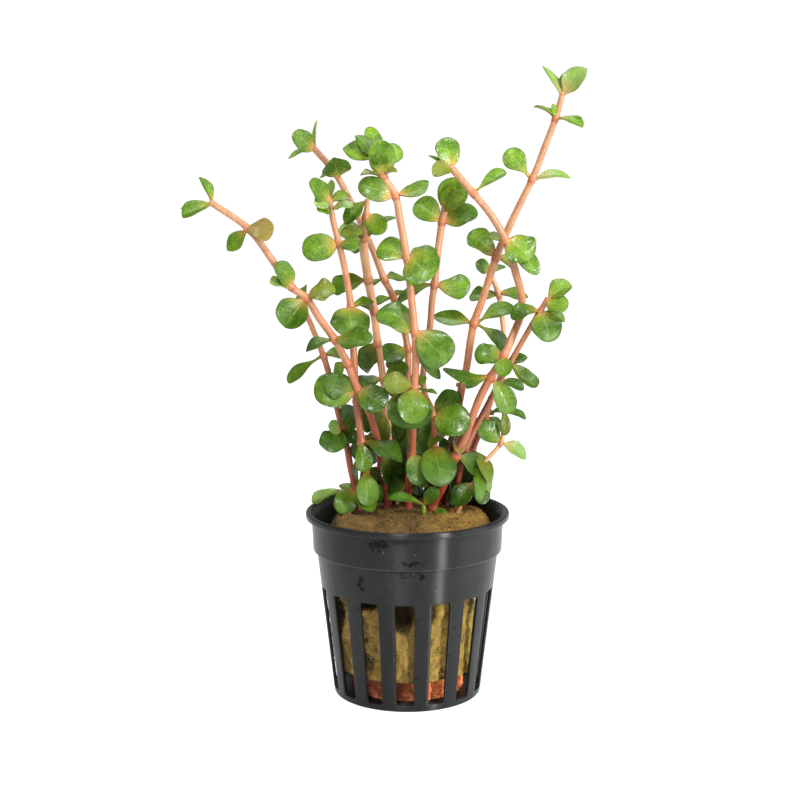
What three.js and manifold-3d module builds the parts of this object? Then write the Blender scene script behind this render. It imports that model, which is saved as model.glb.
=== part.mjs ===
// A potted rotala: a small net pot, the clay and mineral wool in it, and thirteen leafy stems.
// Millimetres, +Z up, the front towards -Y, the origin at the middle of the pot's underside.

import * as THREE from 'three';
import { mergeVertices } from 'three/addons/utils/BufferGeometryUtils.js';
import Module from 'manifold-3d';

const wasm = await Module();
wasm.setup();

// Driving dimensions of the pot
const POT_HEIGHT = 50;
const RIM_RADIUS = 27.5;
const RIM_WIDTH = 1.45;
const RIM_DEPTH = 1.7;
const COLLAR_RADIUS_TOP = 25.9;
const COLLAR_RADIUS_BOTTOM = 25.45;
const STEP_HEIGHT = 39.6;
const WALL_RADIUS_TOP = 24.5;
const BASE_RADIUS = 19.9;
const RIM_CHAMFER = 0.5;
const WALL = 0.9;
const FLOOR = 1.2;
const POT_SIDES = 30;

// Driving dimensions of the openings in the pot
const SLOTS = 15;
const SLOT_WIDTH_DEGREES = 13;
const FRONT_SLOT_DEGREES = -1.8;
const SLOT_BOTTOM = 1.85;
const SLOT_TOP = 29.9;
const CUT_INSIDE_BASE = 4;
const CUT_OUTSIDE_RIM = 2;
const DRAIN_SLOTS = 5;
const DRAIN_WIDTH = 2.6;
const DRAIN_START = 7;
const DRAIN_END = 15;

// What fills the pot
const GAP = 0.3;
const CLAY_RADIUS = 15.6;
const CLAY_TOP = 8.1;
const CLAY_ROUNDING = 1.2;
const WOOL_GAP = 0.4;
const WOOL_FOOT_RADIUS = 15.8;
const WOOL_WAIST_RADIUS = 18.3;
const WOOL_WAIST = 29;
const WOOL_FULL = 34.5;
const WOOL_EDGE = 44.5;
const WOOL_TOP = 48.2;
const FILLING_SIDES = 16;
const SOCKET_BOTTOM = 36;
const SOCKET_RISE = 4;
const SOCKET_GAP = 0.45;

// Stems and leaves
const STEM_SIDES = 5;
const STEM_ROOT = 37.5;
const ROOT_DRAWN_IN = 0.97;
const STRAIGHT_DEGREES = 9;
const NODE_GAP = 0.38;
const NODE_SWELLING = 0.9;
const NODE_HEIGHT = 1.8;
const LEAF_IN_NODE = 0.25;
const LEAF_IN_TIP = 0.3;
const LEAF_IN_STEM = 0.5;
const PETIOLE_HALF_WIDTH = 0.45;
const LEAF_KEEL = 0.7;
const LEAF_STATIONS = [[0.28, 0.8], [0.6, 1], [0.86, 0.7]];
const SMALL_LEAF_WIDTH = 6.3;
const SMALL_LEAF_STATIONS = [[0.34, 0.9], [0.74, 0.9]];

// The plant was read on a front elevation through the pot's axis, as an eye in front of it sees it.
// A place is [x, z, depth]: its place on that elevation, and how far behind the pot's axis it is.
const EYE = new THREE.Vector3(-2, -422, 148);

// Each stem: its thickness at the foot and at the tip, its route from the foot to the tip, its
// leaf pairs and the leaves at its growing tip. A pair sits on one point of the route. A leaf is
// [x, z, away, width, turn, arch]: where its tip is seen, how much deeper its tip is than its
// foot, its width, how far its upper face turns up from facing the eye, in degrees, and the
// height of its arch as a share of its length.
const STEMS = [
  {
    name: 'stem_1',
    thick: [2.5, 1.7],
    route: [
      [-5.2, 51.5, 11], [-7, 62, 8], [-8.2, 69.2, 5.5], [-10.2, 76.7, 1], [-13.3, 82.9, -3],
      [-16.1, 90, -5], [-19.5, 96.5, -7], [-23.6, 102.3, -9], [-26.8, 107.3, -10],
      [-31, 110.5, -11], [-35, 116.4, -12], [-41.9, 125.6, -12.5], [-51.3, 132.3, -13],
    ],
    pairs: [
      { at: 11, leaves: [[-47.3, 120.6, 4, 6.2, 64, 0.1], [-35.3, 124.8, -5, 7, 128, 0.1]] },
      { at: 9, leaves: [[-33.1, 116.8, -3.5, 5.6, 35, 0.05], [-36.3, 112, 4, 5, 80, 0.1]] },
      { at: 8, leaves: [[-31.3, 98.3, -3, 7.2, 12, 0.05], [-19.2, 108.3, 4, 6.5, 52, 0.1]] },
      { at: 6, leaves: [[-27.1, 93.5, -2, 6, 66, 0.1], [-10.2, 98.3, -1, 7.5, 42, 0.1]] },
      { at: 4, leaves: [[-25, 82.7, -1, 9, 10, 0.05], [-5.6, 81, -4.5, 7, 32, 0.1]] },
    ],
    crown: [
      [-52.7, 138.9, 0, 5, 72, 0], [-59.1, 129.9, -2, 6, 55, 0.1], [-59.6, 131.6, 3, 5, 78, 0.05],
    ],
  },
  {
    name: 'stem_2',
    thick: [2.3, 1.6],
    route: [
      [-13.4, 51.8, 8], [-14.4, 55.5, 8.5], [-15.6, 61, 9], [-16.7, 67.5, 9], [-17.9, 72.3, 9.5],
      [-19.3, 78.5, 10], [-21.2, 86.5, 11], [-22.8, 92, 11], [-25.2, 98.5, 11.5],
      [-28.2, 106.5, 12],
    ],
    pairs: [
      { at: 7, leaves: [[-31.8, 85.8, 0, 5.5, 52, 0.1], [-15.5, 91.2, 3.5, 6, 64, 0.1]] },
      { at: 4, leaves: [[-23.3, 68, -4, 6, 42, 0.05], [-14.8, 78, 4.5, 6, 35, 0]] },
      { at: 1, leaves: [[-18.8, 49.9, -6, 6.3, 12, 0.05], [-25.9, 52.9, -3, 5.2, 118, 0.05]] },
    ],
    crown: [[-27.6, 110.6, 4, 5, 60, 0], [-30, 103.5, 4, 5, 40, 0.1]],
  },
  {
    name: 'stem_3',
    thick: [2.4, 1.7],
    route: [
      [-10.2, 51.5, 7], [-11.4, 60.8, 5], [-12.3, 68.6, 3.5], [-12.9, 73.6, 3.5],
      [-13.6, 79.5, 3.5], [-14.2, 90, 3], [-14.5, 97, 3], [-15, 105, 2], [-16.3, 113.7, 1],
      [-18.1, 121.8, 0], [-19.6, 127.9, 0], [-20.3, 132.7, 0],
    ],
    pairs: [
      { at: 9, leaves: [[-27.6, 120.4, -2, 7.2, 12, 0.05], [-12.9, 120.9, -4, 5.5, 42, 0.1]] },
      { at: 7, leaves: [[-16.6, 96.6, -5.5, 8.6, 8, 0.05], [-8.6, 103.2, 3.5, 5.5, 48, 0.1]] },
      { at: 2, leaves: [[-12, 60.6, -4, 5, 18, 0.05], [-2.2, 65.2, -3, 7, 36, 0.1]] },
      { at: 1, leaves: [[-12.2, 50.9, -5, 5.8, 8, 0.05]] },
    ],
    crown: [
      [-25.5, 136.2, -4, 5.5, 38, 0.05], [-19.9, 137.6, 3, 4.5, 70, 0],
      [-16.4, 134.2, 4.5, 5, 35, 0.05], [-23.9, 131.2, 4, 4.5, 48, 0.1],
    ],
  },
  {
    name: 'stem_4',
    thick: [2.2, 1.6],
    route: [
      [-0.8, 53.3, 18], [-0.8, 62, 18], [-0.4, 73, 18], [0.1, 85, 18.5], [0, 94, 18.5],
      [-1.6, 101.3, 18.5], [-3.8, 107.6, 18], [-6.2, 112.4, 17], [-9.4, 120.6, 15.5],
      [-14.5, 131.8, 13], [-19.3, 140.5, 12], [-24.4, 146.4, 11],
    ],
    pairs: [
      { at: 10, leaves: [[-15.6, 142.6, -6, 7, 22, 0.05], [-22.8, 139.3, 3.5, 4, 45, 0.1]] },
      { at: 7, leaves: [[-0.6, 112.9, 4, 5, 68, 0.1], [-9.4, 110.8, -3, 3.5, 60, 0.1]] },
      { at: 6, leaves: [[-8.2, 105.5, -3, 4, 58, 0.1], [1, 105.5, 4.5, 5, 50, 0.1]] },
      { at: 4, leaves: [[-6.6, 92.6, -4.5, 6, 38, 0.1], [5, 90, 5, 6, 40, 0.1]] },
      { at: 2, leaves: [[-4.9, 64, -3, 7.5, 12, 0.05], [4.9, 63.5, -2, 7.5, 12, 0.05]] },
    ],
    crown: [
      [-29.5, 149.8, -4, 5.5, 32, 0.05], [-22.8, 153.8, 1, 3, 72, 0],
      [-31.2, 143.7, 1, 3.5, 68, 0.1],
    ],
  },
  {
    name: 'stem_5',
    thick: [2.2, 1.9],
    route: [
      [-3.2, 52.8, 14.5], [-4.4, 62, 13.5], [-5.5, 76, 11.5], [-6.5, 85.8, 9.5], [-8, 95.5, 8],
      [-8.9, 104, 7], [-10.4, 112.2, 7], [-11.7, 123.2, 6.5], [-10.9, 129, 6],
      [-10.6, 132.8, 6],
    ],
    pairs: [
      { at: 7, leaves: [[-17.6, 123.9, -3.5, 5, 48, 0.1], [-3.3, 128.9, 3, 4.5, 50, 0.1]] },
      { at: 3, leaves: [[-14, 85.2, -1, 6, 58, 0.1], [0.2, 87.3, -5, 6.5, 25, 0.05]] },
    ],
    lone: [
      { at: 6, leaf: [-19.5, 110, 1, 6.5, 45, 0.1] },
      { at: 5, leaf: [-14.6, 108, 2, 5, 58, 0.1] },
      { at: 4, leaf: [-11.8, 87.8, 2, 6, 40, 0.05] },
      { at: 2, leaf: [-7.9, 68.8, -1, 5, 50, 0.05] },
    ],
    crown: [[-6, 124.3, -3, 5, 12, 0.05], [-16, 129.2, 2, 5, 38, 0.1]],
  },
  {
    name: 'stem_6',
    thick: [2.4, 1.8],
    route: [
      [0.4, 51.3, 8], [0.3, 57.5, 5.5], [1.2, 65.6, 2.5], [1.5, 73, -0.5], [1.8, 83.2, -5],
      [2.2, 90, -6], [1.9, 98.4, -7], [1.1, 106.6, -7], [-0.2, 118, -7], [-2, 127.8, -7],
      [-3.3, 134.3, -7], [-6.4, 139.4, -7], [-8, 144.3, -6.5],
    ],
    pairs: [
      { at: 11, leaves: [[-12.2, 139.9, -1, 4.5, 72, 0.1], [-3.1, 140.9, 3.5, 4, 62, 0.1]] },
      { at: 10, leaves: [[-12.5, 136.2, -1, 6.8, 36, 0.1], [5.4, 138.8, 1, 6.3, 60, 0.1]] },
      {
        at: 8,
        leaves: [
          [-8.2, 120.6, 3.5, 7, 28, 0.05], [6.4, 111.8, -5, 8, 5, 0.05], [7.4, 120.6, 4, 6, 50, 0],
        ],
      },
      { at: 6, leaves: [[10.8, 90.2, -2, 8.6, 10, 0.05], [-8.2, 103.2, 2, 7.4, 25, 0.1]] },
      {
        at: 4,
        leaves: [
          [1.1, 73.8, -5.5, 8.6, 2, 0.08], [-0.3, 72.4, -2.5, 11.3, 2, 0.05], [8, 81.7, 1, 4, 80, 0],
        ],
      },
      { at: 2, leaves: [[2.8, 57.2, -3, 5, 8, 0.05]] },
    ],
    crown: [
      [-7.4, 148.4, -5.5, 6.8, 10, 0.05], [-9.6, 151.9, 3, 5, 20, 0], [-12.8, 149.6, 2, 4, 62, 0],
      [-16.7, 148.2, 1, 5.5, 35, 0.1], [-0.8, 146, 3.5, 6, 35, 0.05],
    ],
  },
  {
    name: 'stem_7',
    thick: [2, 1.7],
    route: [
      [5.9, 52, 10], [7, 60, 6.5], [7.2, 67.5, 4.5], [6.9, 76.2, 2.5], [4.7, 81.5, 4],
      [4.1, 85.5, 4.5], [5, 93, 4.5], [6, 100.1, 4], [6.4, 105.6, 4], [7.1, 111, 4],
      [7.9, 119, 5], [9.1, 127.6, 6], [9.7, 130.4, 6.2],
    ],
    pairs: [
      { at: 11, leaves: [[2, 132.3, 0, 6.3, 20, 0.05], [18, 130.3, 0, 6, 35, 0.1]] },
      { at: 9, leaves: [[16.8, 111.2, 1, 7, 42, 0.1], [-2.8, 108.2, 4, 5, 66, 0.05]] },
      { at: 3, leaves: [[16.4, 72.4, -5.5, 8.4, 12, 0.05], [13.9, 81.9, 2, 6.5, 28, 0.05]] },
      { at: 2, leaves: [[9.6, 56.2, -8.5, 9.4, 2, 0.05]] },
    ],
    crown: [
      [13, 139.5, 1, 7, 15, 0.05], [10.8, 138, -2, 4.5, 35, 0], [14.8, 132.2, -4.5, 5, 45, 0.1],
    ],
  },
  {
    name: 'stem_8',
    thick: [2.4, 1.8],
    route: [
      [10.2, 52.6, 12.5], [11.5, 62, 11], [13, 72, 8.5], [14.1, 81.2, 6.5], [15.6, 88.1, 5.5],
      [17.6, 100.7, 5], [19.7, 106.6, 5], [23.4, 118.2, 5], [28.1, 129.2, 4.5],
      [32.6, 138.6, 4], [36.4, 148.6, 3.5], [38.5, 154.4, 3], [40.1, 160.3, 3],
    ],
    pairs: [
      { at: 11, leaves: [[32.8, 157, 3, 5, 80, 0.1], [45.1, 153.4, -3.5, 5.5, 68, 0.15]] },
      { at: 9, leaves: [[26, 145.5, 0, 5.6, 28, 0.05], [42.6, 138.8, 0, 6.5, 66, 0.1]] },
      { at: 7, leaves: [[14.8, 125.8, 1, 7, 36, 0.05], [28.5, 115.5, 4, 5, 40, 0.1]] },
      {
        at: 5,
        leaves: [
          [6.5, 103, 4, 6.5, 42, 0.1], [28, 106.6, 3, 6, 48, 0.1], [25.7, 93.6, 1, 6, 50, 0.1],
        ],
      },
    ],
    crown: [
      [35, 167.1, 1, 5, 74, 0], [46.1, 166.2, -1, 6, 138, 0.1], [41.3, 166.2, 1, 4, 30, 0],
    ],
  },
  {
    name: 'stem_9',
    thick: [2.6, 1.8],
    route: [
      [6.9, 50.6, 5], [9.6, 56.5, 3.5], [13, 64.8, 1], [15.4, 70, 0], [17.6, 75, -0.5],
      [20.2, 81, -1], [22.8, 86.2, -1.5], [25.6, 91.8, -1.5], [28.2, 98, 0.5],
      [29.9, 102.5, 1.5], [30.2, 107.5, 1], [28.6, 113.7, -1], [25.8, 122.4, -2.5], [22.2, 128.7, -3],
      [17.1, 134.9, -3], [11.3, 141.5, -2.5],
    ],
    pairs: [
      { at: 12, leaves: [[34.6, 116.3, -3, 8.4, 18, 0.05], [20, 123, 4, 5, 66, 0.1]] },
      { at: 7, leaves: [[18, 92.4, 0, 5, 30, 0.05], [25.5, 87.2, -4, 4.6, 5, 0.1]] },
      { at: 6, leaves: [[10, 88, -2, 6, 58, 0.05], [28.7, 77, -1, 6.4, 32, 0.05]] },
    ],
    lone: [
      { at: 14, leaf: [25.5, 140.5, 1, 6, 64, 0.1] },
    ],
    crown: [
      [10.8, 149.4, 0, 6, 18, 0.05], [5.5, 144.8, 0, 4.5, 70, 0], [6.5, 140.2, -4, 4.6, 48, 0.1],
      [14.4, 145.6, 3, 4, 40, 0],
    ],
  },
  {
    name: 'stem_10',
    thick: [1.7, 1.5],
    route: [
      [12.8, 51.8, 7.5], [14.5, 62, 5], [16.4, 69, 4.6], [18.5, 73.1, 4.4], [20.5, 77, 4.2],
      [22.5, 81, 3.8], [25, 85.8, 3], [27.3, 90, 2], [31.4, 97.4, -1], [35.1, 103.8, -3],
      [36.9, 106.9, -3.4],
    ],
    pairs: [
      {
        at: 9,
        leaves: [
          [37.4, 96, -4.5, 7.2, 8, 0.05], [42, 98.5, 0, 6, 30, 0.05], [27.3, 102.5, -1, 6, 52, 0.1],
        ],
      },
      { at: 7, leaves: [[31.9, 91.6, 1, 3.5, 35, 0.05], [35.2, 85.4, -1, 5, 50, 0.15]] },
    ],
    crown: [
      [43, 111.2, 1, 5.5, 25, 0.05], [42.2, 105, -4, 5, 25, 0.05],
    ],
  },
  {
    name: 'stem_11',
    thick: [1.5, 1.3],
    route: [
      [8.5, 53, 17], [14, 62, 17.5], [20, 74, 18.5], [24.3, 85, 19.5], [25.6, 95, 20],
      [25, 102.5, 20], [24, 108.4, 20], [21.6, 114.3, 20],
    ],
    pairs: [
      { at: 6, leaves: [[16.8, 108.8, 4, 6, 58, 0.1], [32, 108.8, 1, 5.5, 68, 0.1]] },
    ],
    lone: [
      { at: 3, leaf: [31.1, 82.9, -1, 3.5, 40, 0.15] },
    ],
    crown: [[18.3, 116.6, -3, 3.5, 35, 0], [25.5, 115.2, 3, 3.5, 50, 0]],
  },
  {
    name: 'stem_12',
    thick: [2, 1.9],
    route: [
      [15.2, 52.6, 12], [16.8, 59, 11.5], [17.6, 66.2, 11], [19.5, 71.5, 10.5],
      [20.9, 75.4, 10], [22.2, 80.4, 9.5],
    ],
    pairs: [
      { at: 4, leaves: [[25.2, 71.6, 3, 4.5, 30, 0.05], [18.4, 73.2, -3, 3, 50, 0.1]] },
      { at: 2, leaves: [[23.5, 58.8, -2, 5, 52, 0.05], [14.6, 57.2, -2, 4.6, 20, 0.05]] },
    ],
    lone: [
      { at: 1, leaf: [20.6, 51.9, -6, 5.5, 20, 0.05] },
    ],
    crown: [],
  },
  {
    name: 'stem_13',
    thick: [1.4, 1.2],
    route: [
      [14, 50.4, 3], [16.5, 55.4, 4], [18.9, 59, 5], [21.2, 63.5, 6], [25.2, 68.5, 6.5],
      [25.6, 72.2, 6.8], [25.8, 77, 7],
    ],
    pairs: [
      { at: 4, leaves: [[19.3, 73.9, -1, 5.2, 28, 0.05], [32, 65, 0, 4.8, 30, 0.1]] },
    ],
    crown: [[22.8, 77.4, 3, 3.5, 50, 0], [32, 75.4, 1, 3, 40, 0.1], [27, 71.4, -1.6, 3, 20, 0.1]],
  },
];

// A seedling on the wool: its foot, and its leaves as the stems' leaves are given
const SEEDLING = {
  foot: [4.4, 49.7, -1],
  thick: 1.6,
  height: 1.8,
  leaves: [[-4.9, 53.6, -1, 4, 60, 0.05], [7.9, 56, -2, 4, 25, 0.05]],
};

const LEAF = { color: 0x4f8a26, roughness: 0.35 };
const STEM = { color: 0xd98a6c, roughness: 0.45 };
const PLASTIC = { color: 0x2c2e2f, roughness: 0.5 };
const CLAY = { color: 0xa4512c, roughness: 0.9 };
const WOOL = { color: 0x8a6f35, roughness: 0.95 };

// A point of the elevation, set back to its depth along the line of sight
function place([x, z, depth]) {
  const stretch = (depth - EYE.y) / -EYE.y;
  return new THREE.Vector3(
    EYE.x + (x - EYE.x) * stretch,
    depth,
    EYE.z + (z - EYE.z) * stretch,
  );
}

// A closed skin over a row of rings, each going counterclockwise about the direction of the row
function loft(rings) {
  const positions = [];
  const index = [];
  const starts = [];
  for (const ring of rings) {
    starts.push(positions.length / 3);
    ring.forEach((point) => positions.push(point.x, point.y, point.z));
  }
  for (let i = 0; i + 1 < rings.length; i += 1) {
    const count = rings[i].length;
    for (let k = 0; k < count; k += 1) {
      const here = starts[i] + k;
      const next = starts[i] + ((k + 1) % count);
      if (rings[i + 1].length === 1) {
        index.push(here, next, starts[i + 1]);
      } else {
        const above = starts[i + 1] + k;
        const aboveNext = starts[i + 1] + ((k + 1) % count);
        index.push(here, next, aboveNext, here, aboveNext, above);
      }
    }
  }
  const last = rings.length - 1;
  for (let k = 1; k + 1 < rings[0].length; k += 1) {
    index.push(starts[0], starts[0] + k + 1, starts[0] + k);
  }
  for (let k = 1; k + 1 < rings[last].length; k += 1) {
    index.push(starts[last], starts[last] + k, starts[last] + k + 1);
  }
  const geometry = new THREE.BufferGeometry();
  geometry.setAttribute('position', new THREE.Float32BufferAttribute(positions, 3));
  geometry.setIndex(index);
  return geometry;
}

// A closed skin round a hoop: its rings are joined in turn, and the last to the first
function ringSkin(rings) {
  const count = rings[0].length;
  const positions = rings.flat().flatMap((point) => [point.x, point.y, point.z]);
  const index = [];
  for (let i = 0; i < rings.length; i += 1) {
    const above = (i + 1) % rings.length;
    for (let k = 0; k < count; k += 1) {
      const next = (k + 1) % count;
      const corners = [i * count + k, i * count + next, above * count + next, above * count + k];
      index.push(corners[0], corners[1], corners[2], corners[0], corners[2], corners[3]);
    }
  }
  const geometry = new THREE.BufferGeometry();
  geometry.setAttribute('position', new THREE.Float32BufferAttribute(positions, 3));
  geometry.setIndex(index);
  return geometry;
}

// The solid of a closed geometry, with its seams merged and its empty triangles dropped
function solid(geometry) {
  const bare = geometry.clone();
  bare.deleteAttribute('normal');
  bare.deleteAttribute('uv');
  const merged = mergeVertices(bare, 1e-4);
  const corners = Array.from(merged.index.array);
  const kept = [];
  for (let i = 0; i < corners.length; i += 3) {
    const [a, b, c] = corners.slice(i, i + 3);
    if (a !== b && b !== c && c !== a) {
      kept.push(a, b, c);
    }
  }
  return new wasm.Manifold(new wasm.Mesh({
    numProp: 3,
    vertProperties: new Float32Array(merged.attributes.position.array),
    triVerts: new Uint32Array(kept),
  }));
}

function geometryOf(body) {
  const mesh = body.getMesh();
  const geometry = new THREE.BufferGeometry();
  geometry.setAttribute('position', new THREE.BufferAttribute(mesh.vertProperties, 3));
  geometry.setIndex(new THREE.BufferAttribute(mesh.triVerts, 1));
  geometry.computeVertexNormals();
  return geometry;
}

const plant = new THREE.Group();

function addMesh(name, body, look) {
  const material = new THREE.MeshStandardMaterial({ ...look, metalness: 0 });
  const mesh = new THREE.Mesh(geometryOf(body), material);
  mesh.name = name;
  plant.add(mesh);
}

// A ring of points around a centre, from two directions that are square to each other
function ringAround(centre, across, over, radius, sides) {
  const ring = [];
  for (let k = 0; k < sides; k += 1) {
    const angle = (2 * Math.PI * k) / sides;
    ring.push(centre.clone()
      .addScaledVector(across, radius * Math.cos(angle))
      .addScaledVector(over, radius * Math.sin(angle)));
  }
  return ring;
}

// The pot: a turned wall and floor, with slots cut through them
function makePot() {
  const lipInner = RIM_RADIUS - RIM_WIDTH;
  const profile = [
    [0, 0],
    [BASE_RADIUS, 0],
    [WALL_RADIUS_TOP, STEP_HEIGHT],
    [COLLAR_RADIUS_BOTTOM, STEP_HEIGHT],
    [COLLAR_RADIUS_TOP, POT_HEIGHT - RIM_DEPTH],
    [RIM_RADIUS, POT_HEIGHT - RIM_DEPTH],
    [RIM_RADIUS, POT_HEIGHT - RIM_CHAMFER],
    [RIM_RADIUS - RIM_CHAMFER, POT_HEIGHT],
    [lipInner, POT_HEIGHT],
    [COLLAR_RADIUS_TOP - WALL, POT_HEIGHT - RIM_DEPTH],
    [COLLAR_RADIUS_BOTTOM - WALL, STEP_HEIGHT + WALL],
    [WALL_RADIUS_TOP - WALL, STEP_HEIGHT - WALL / 2],
    [BASE_RADIUS - WALL, FLOOR],
    [0, FLOOR],
  ];
  const lathe = new THREE.LatheGeometry(
    profile.map(([radius, height]) => new THREE.Vector2(radius, height)),
    POT_SIDES,
  );
  lathe.rotateX(Math.PI / 2);
  lathe.rotateZ(THREE.MathUtils.degToRad(FRONT_SLOT_DEGREES));
  let pot = solid(lathe);
  const halfSlot = THREE.MathUtils.degToRad(SLOT_WIDTH_DEGREES / 2);
  const inner = BASE_RADIUS - CUT_INSIDE_BASE;
  const outer = RIM_RADIUS + CUT_OUTSIDE_RIM;
  const wedge = new THREE.Shape([
    new THREE.Vector2(-inner * Math.tan(halfSlot), -inner),
    new THREE.Vector2(-outer * Math.tan(halfSlot), -outer),
    new THREE.Vector2(outer * Math.tan(halfSlot), -outer),
    new THREE.Vector2(inner * Math.tan(halfSlot), -inner),
  ]);
  for (let i = 0; i < SLOTS; i += 1) {
    const cutter = new THREE.ExtrudeGeometry(wedge, {
      depth: SLOT_TOP - SLOT_BOTTOM,
      bevelEnabled: false,
    });
    cutter.translate(0, 0, SLOT_BOTTOM);
    cutter.rotateZ(THREE.MathUtils.degToRad(FRONT_SLOT_DEGREES + (360 / SLOTS) * i));
    pot = pot.subtract(solid(cutter));
  }
  for (let i = 0; i < DRAIN_SLOTS; i += 1) {
    const drain = new THREE.BoxGeometry(DRAIN_END - DRAIN_START, DRAIN_WIDTH, FLOOR * 4);
    drain.translate((DRAIN_START + DRAIN_END) / 2, 0, 0);
    drain.rotateZ((2 * Math.PI * i) / DRAIN_SLOTS);
    pot = pot.subtract(solid(drain));
  }
  return pot;
}

// The inside radius of the pot's wall at a height
function potInside(height) {
  const share = height / STEP_HEIGHT;
  return BASE_RADIUS - WALL + (WALL_RADIUS_TOP - BASE_RADIUS) * share;
}

// How far a lumpy top stands up: three broad lumps around it, and five smaller ones
function lump(angle, radius) {
  const broad = 0.5 * Math.sin(3 * angle + 0.6);
  const small = 0.4 * Math.sin(5 * angle - radius / 4);
  return broad + small;
}

// A level ring of points about the pot's axis, which rises and falls where it is lumpy
function levelRing(radius, height, lumpiness) {
  const ring = [];
  for (let k = 0; k < FILLING_SIDES; k += 1) {
    const angle = (2 * Math.PI * k) / FILLING_SIDES;
    const rise = lumpiness * lump(angle, radius);
    ring.push(new THREE.Vector3(
      radius * Math.cos(angle),
      radius * Math.sin(angle),
      height + rise,
    ));
  }
  return ring;
}

// The clay that lies on the pot's floor, as one low puck
function makeClay() {
  const bottom = FLOOR + GAP;
  return solid(loft([
    levelRing(CLAY_RADIUS, bottom, 0),
    levelRing(CLAY_RADIUS, CLAY_TOP - CLAY_ROUNDING, 0),
    levelRing(CLAY_RADIUS - CLAY_ROUNDING, CLAY_TOP - 0.3, 0.3),
    [new THREE.Vector3(0, 0, CLAY_TOP)],
  ]));
}

// The plug of mineral wool in the pot, slim behind the slots and full above them, with a hole
// for the foot of each stem
function makeWool(holes) {
  const bottom = CLAY_TOP + WOOL_GAP;
  const edge = potInside(STEP_HEIGHT) - WOOL_GAP;
  const rings = [
    levelRing(WOOL_FOOT_RADIUS, bottom, 0),
    levelRing(WOOL_WAIST_RADIUS, WOOL_WAIST, 0),
    levelRing(potInside(WOOL_FULL) - WOOL_GAP, WOOL_FULL, 0),
  ];
  // Each ring of its top: the share of the edge's radius, the height and the lumpiness
  for (const [share, height, lumpiness] of [
    [1.02, WOOL_EDGE - 1, 0.5],
    [0.93, WOOL_EDGE + 1.8, 1],
    [0.66, WOOL_TOP - 0.6, 1],
    [0.33, WOOL_TOP - 0.2, 0.6],
  ]) {
    rings.push(levelRing(edge * share, height, lumpiness));
  }
  rings.push([new THREE.Vector3(0, 0, WOOL_TOP)]);
  return holes.reduce((wool, hole) => wool.subtract(hole), solid(loft(rings)));
}

// The middle line of a stem, its directions at each point of its route, and its radius there
function stemFrame(stem) {
  const points = stem.route.map(place);
  const foot = points[0];
  points.unshift(new THREE.Vector3(foot.x * ROOT_DRAWN_IN, foot.y * ROOT_DRAWN_IN, STEM_ROOT));
  const curve = new THREE.CatmullRomCurve3(points, false, 'centripetal');
  const steps = [];
  let across = new THREE.Vector3(1, 0, 0);
  points.forEach((point, i) => {
    const share = i / (points.length - 1);
    const along = curve.getTangent(share);
    across = across.clone().addScaledVector(along, -across.dot(along)).normalize();
    const over = along.clone().cross(across);
    const radius = THREE.MathUtils.lerp(stem.thick[0], stem.thick[1], share) / 2;
    steps.push({ point, along, across, over, radius });
  });
  return steps;
}

function stemBody(steps, extra) {
  return solid(loft(steps.map(({ point, across, over, radius }) => (
    ringAround(point, across, over, radius + extra, STEM_SIDES)
  ))));
}

// The points of a stem that its faceted skin needs: its ends, its nodes and its bends
function neededSteps(steps, nodes) {
  const kept = [steps[0], steps[1]];
  for (let i = 2; i + 1 < steps.length; i += 1) {
    const before = steps[i].point.clone().sub(kept[kept.length - 1].point);
    const after = steps[i + 1].point.clone().sub(steps[i].point);
    const bend = THREE.MathUtils.radToDeg(before.angleTo(after));
    if (nodes.includes(i) || bend > STRAIGHT_DEGREES) {
      kept.push(steps[i]);
    }
  }
  kept.push(steps[steps.length - 1]);
  return kept;
}

// The foot's part of a stem, a little thicker, as the hole it stands in
function socketBody(steps) {
  const [root, foot] = steps;
  const deeper = { ...root, point: root.point.clone().setZ(SOCKET_BOTTOM) };
  const above = {
    ...foot,
    point: foot.point.clone().addScaledVector(foot.along, SOCKET_RISE),
  };
  return stemBody([deeper, foot, above], SOCKET_GAP);
}

// A leaf: flat above, keeled below, from its foot beside the stem to its tip
function leafBody(step, leaf, footRadius) {
  const [x, z, away, width, turn, arch] = leaf;
  const node = step.point;
  const tip = place([x, z, node.y + away]);
  const reach = tip.clone().sub(node);
  const aside = reach.clone().addScaledVector(step.along, -reach.dot(step.along)).normalize();
  const foot = node.clone().addScaledVector(aside, footRadius);
  const span = tip.clone().sub(foot);
  const length = span.length();
  const axis = span.clone().normalize();
  const toEye = EYE.clone().sub(foot);
  toEye.addScaledVector(axis, -toEye.dot(axis)).normalize();
  const upwards = toEye.clone().cross(axis).multiplyScalar(tip.x >= node.x ? 1 : -1);
  const angle = THREE.MathUtils.degToRad(turn);
  const face = toEye.clone().multiplyScalar(Math.cos(angle))
    .addScaledVector(upwards, Math.sin(angle));
  const side = face.clone().cross(axis);
  const section = (share, half, keel) => {
    const middle = foot.clone().addScaledVector(axis, length * share)
      .addScaledVector(face, arch * length * 4 * share * (1 - share));
    return [
      middle.clone().addScaledVector(side, half),
      middle.clone().addScaledVector(side, -half),
      middle.clone().addScaledVector(face, -keel),
    ];
  };
  const rings = [section(0, PETIOLE_HALF_WIDTH, LEAF_KEEL)];
  const stations = width > SMALL_LEAF_WIDTH ? LEAF_STATIONS : SMALL_LEAF_STATIONS;
  for (const [share, fullness] of stations) {
    rings.push(section(share, (fullness * width) / 2, LEAF_KEEL));
  }
  rings.push([tip]);
  return solid(loft(rings));
}

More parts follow.
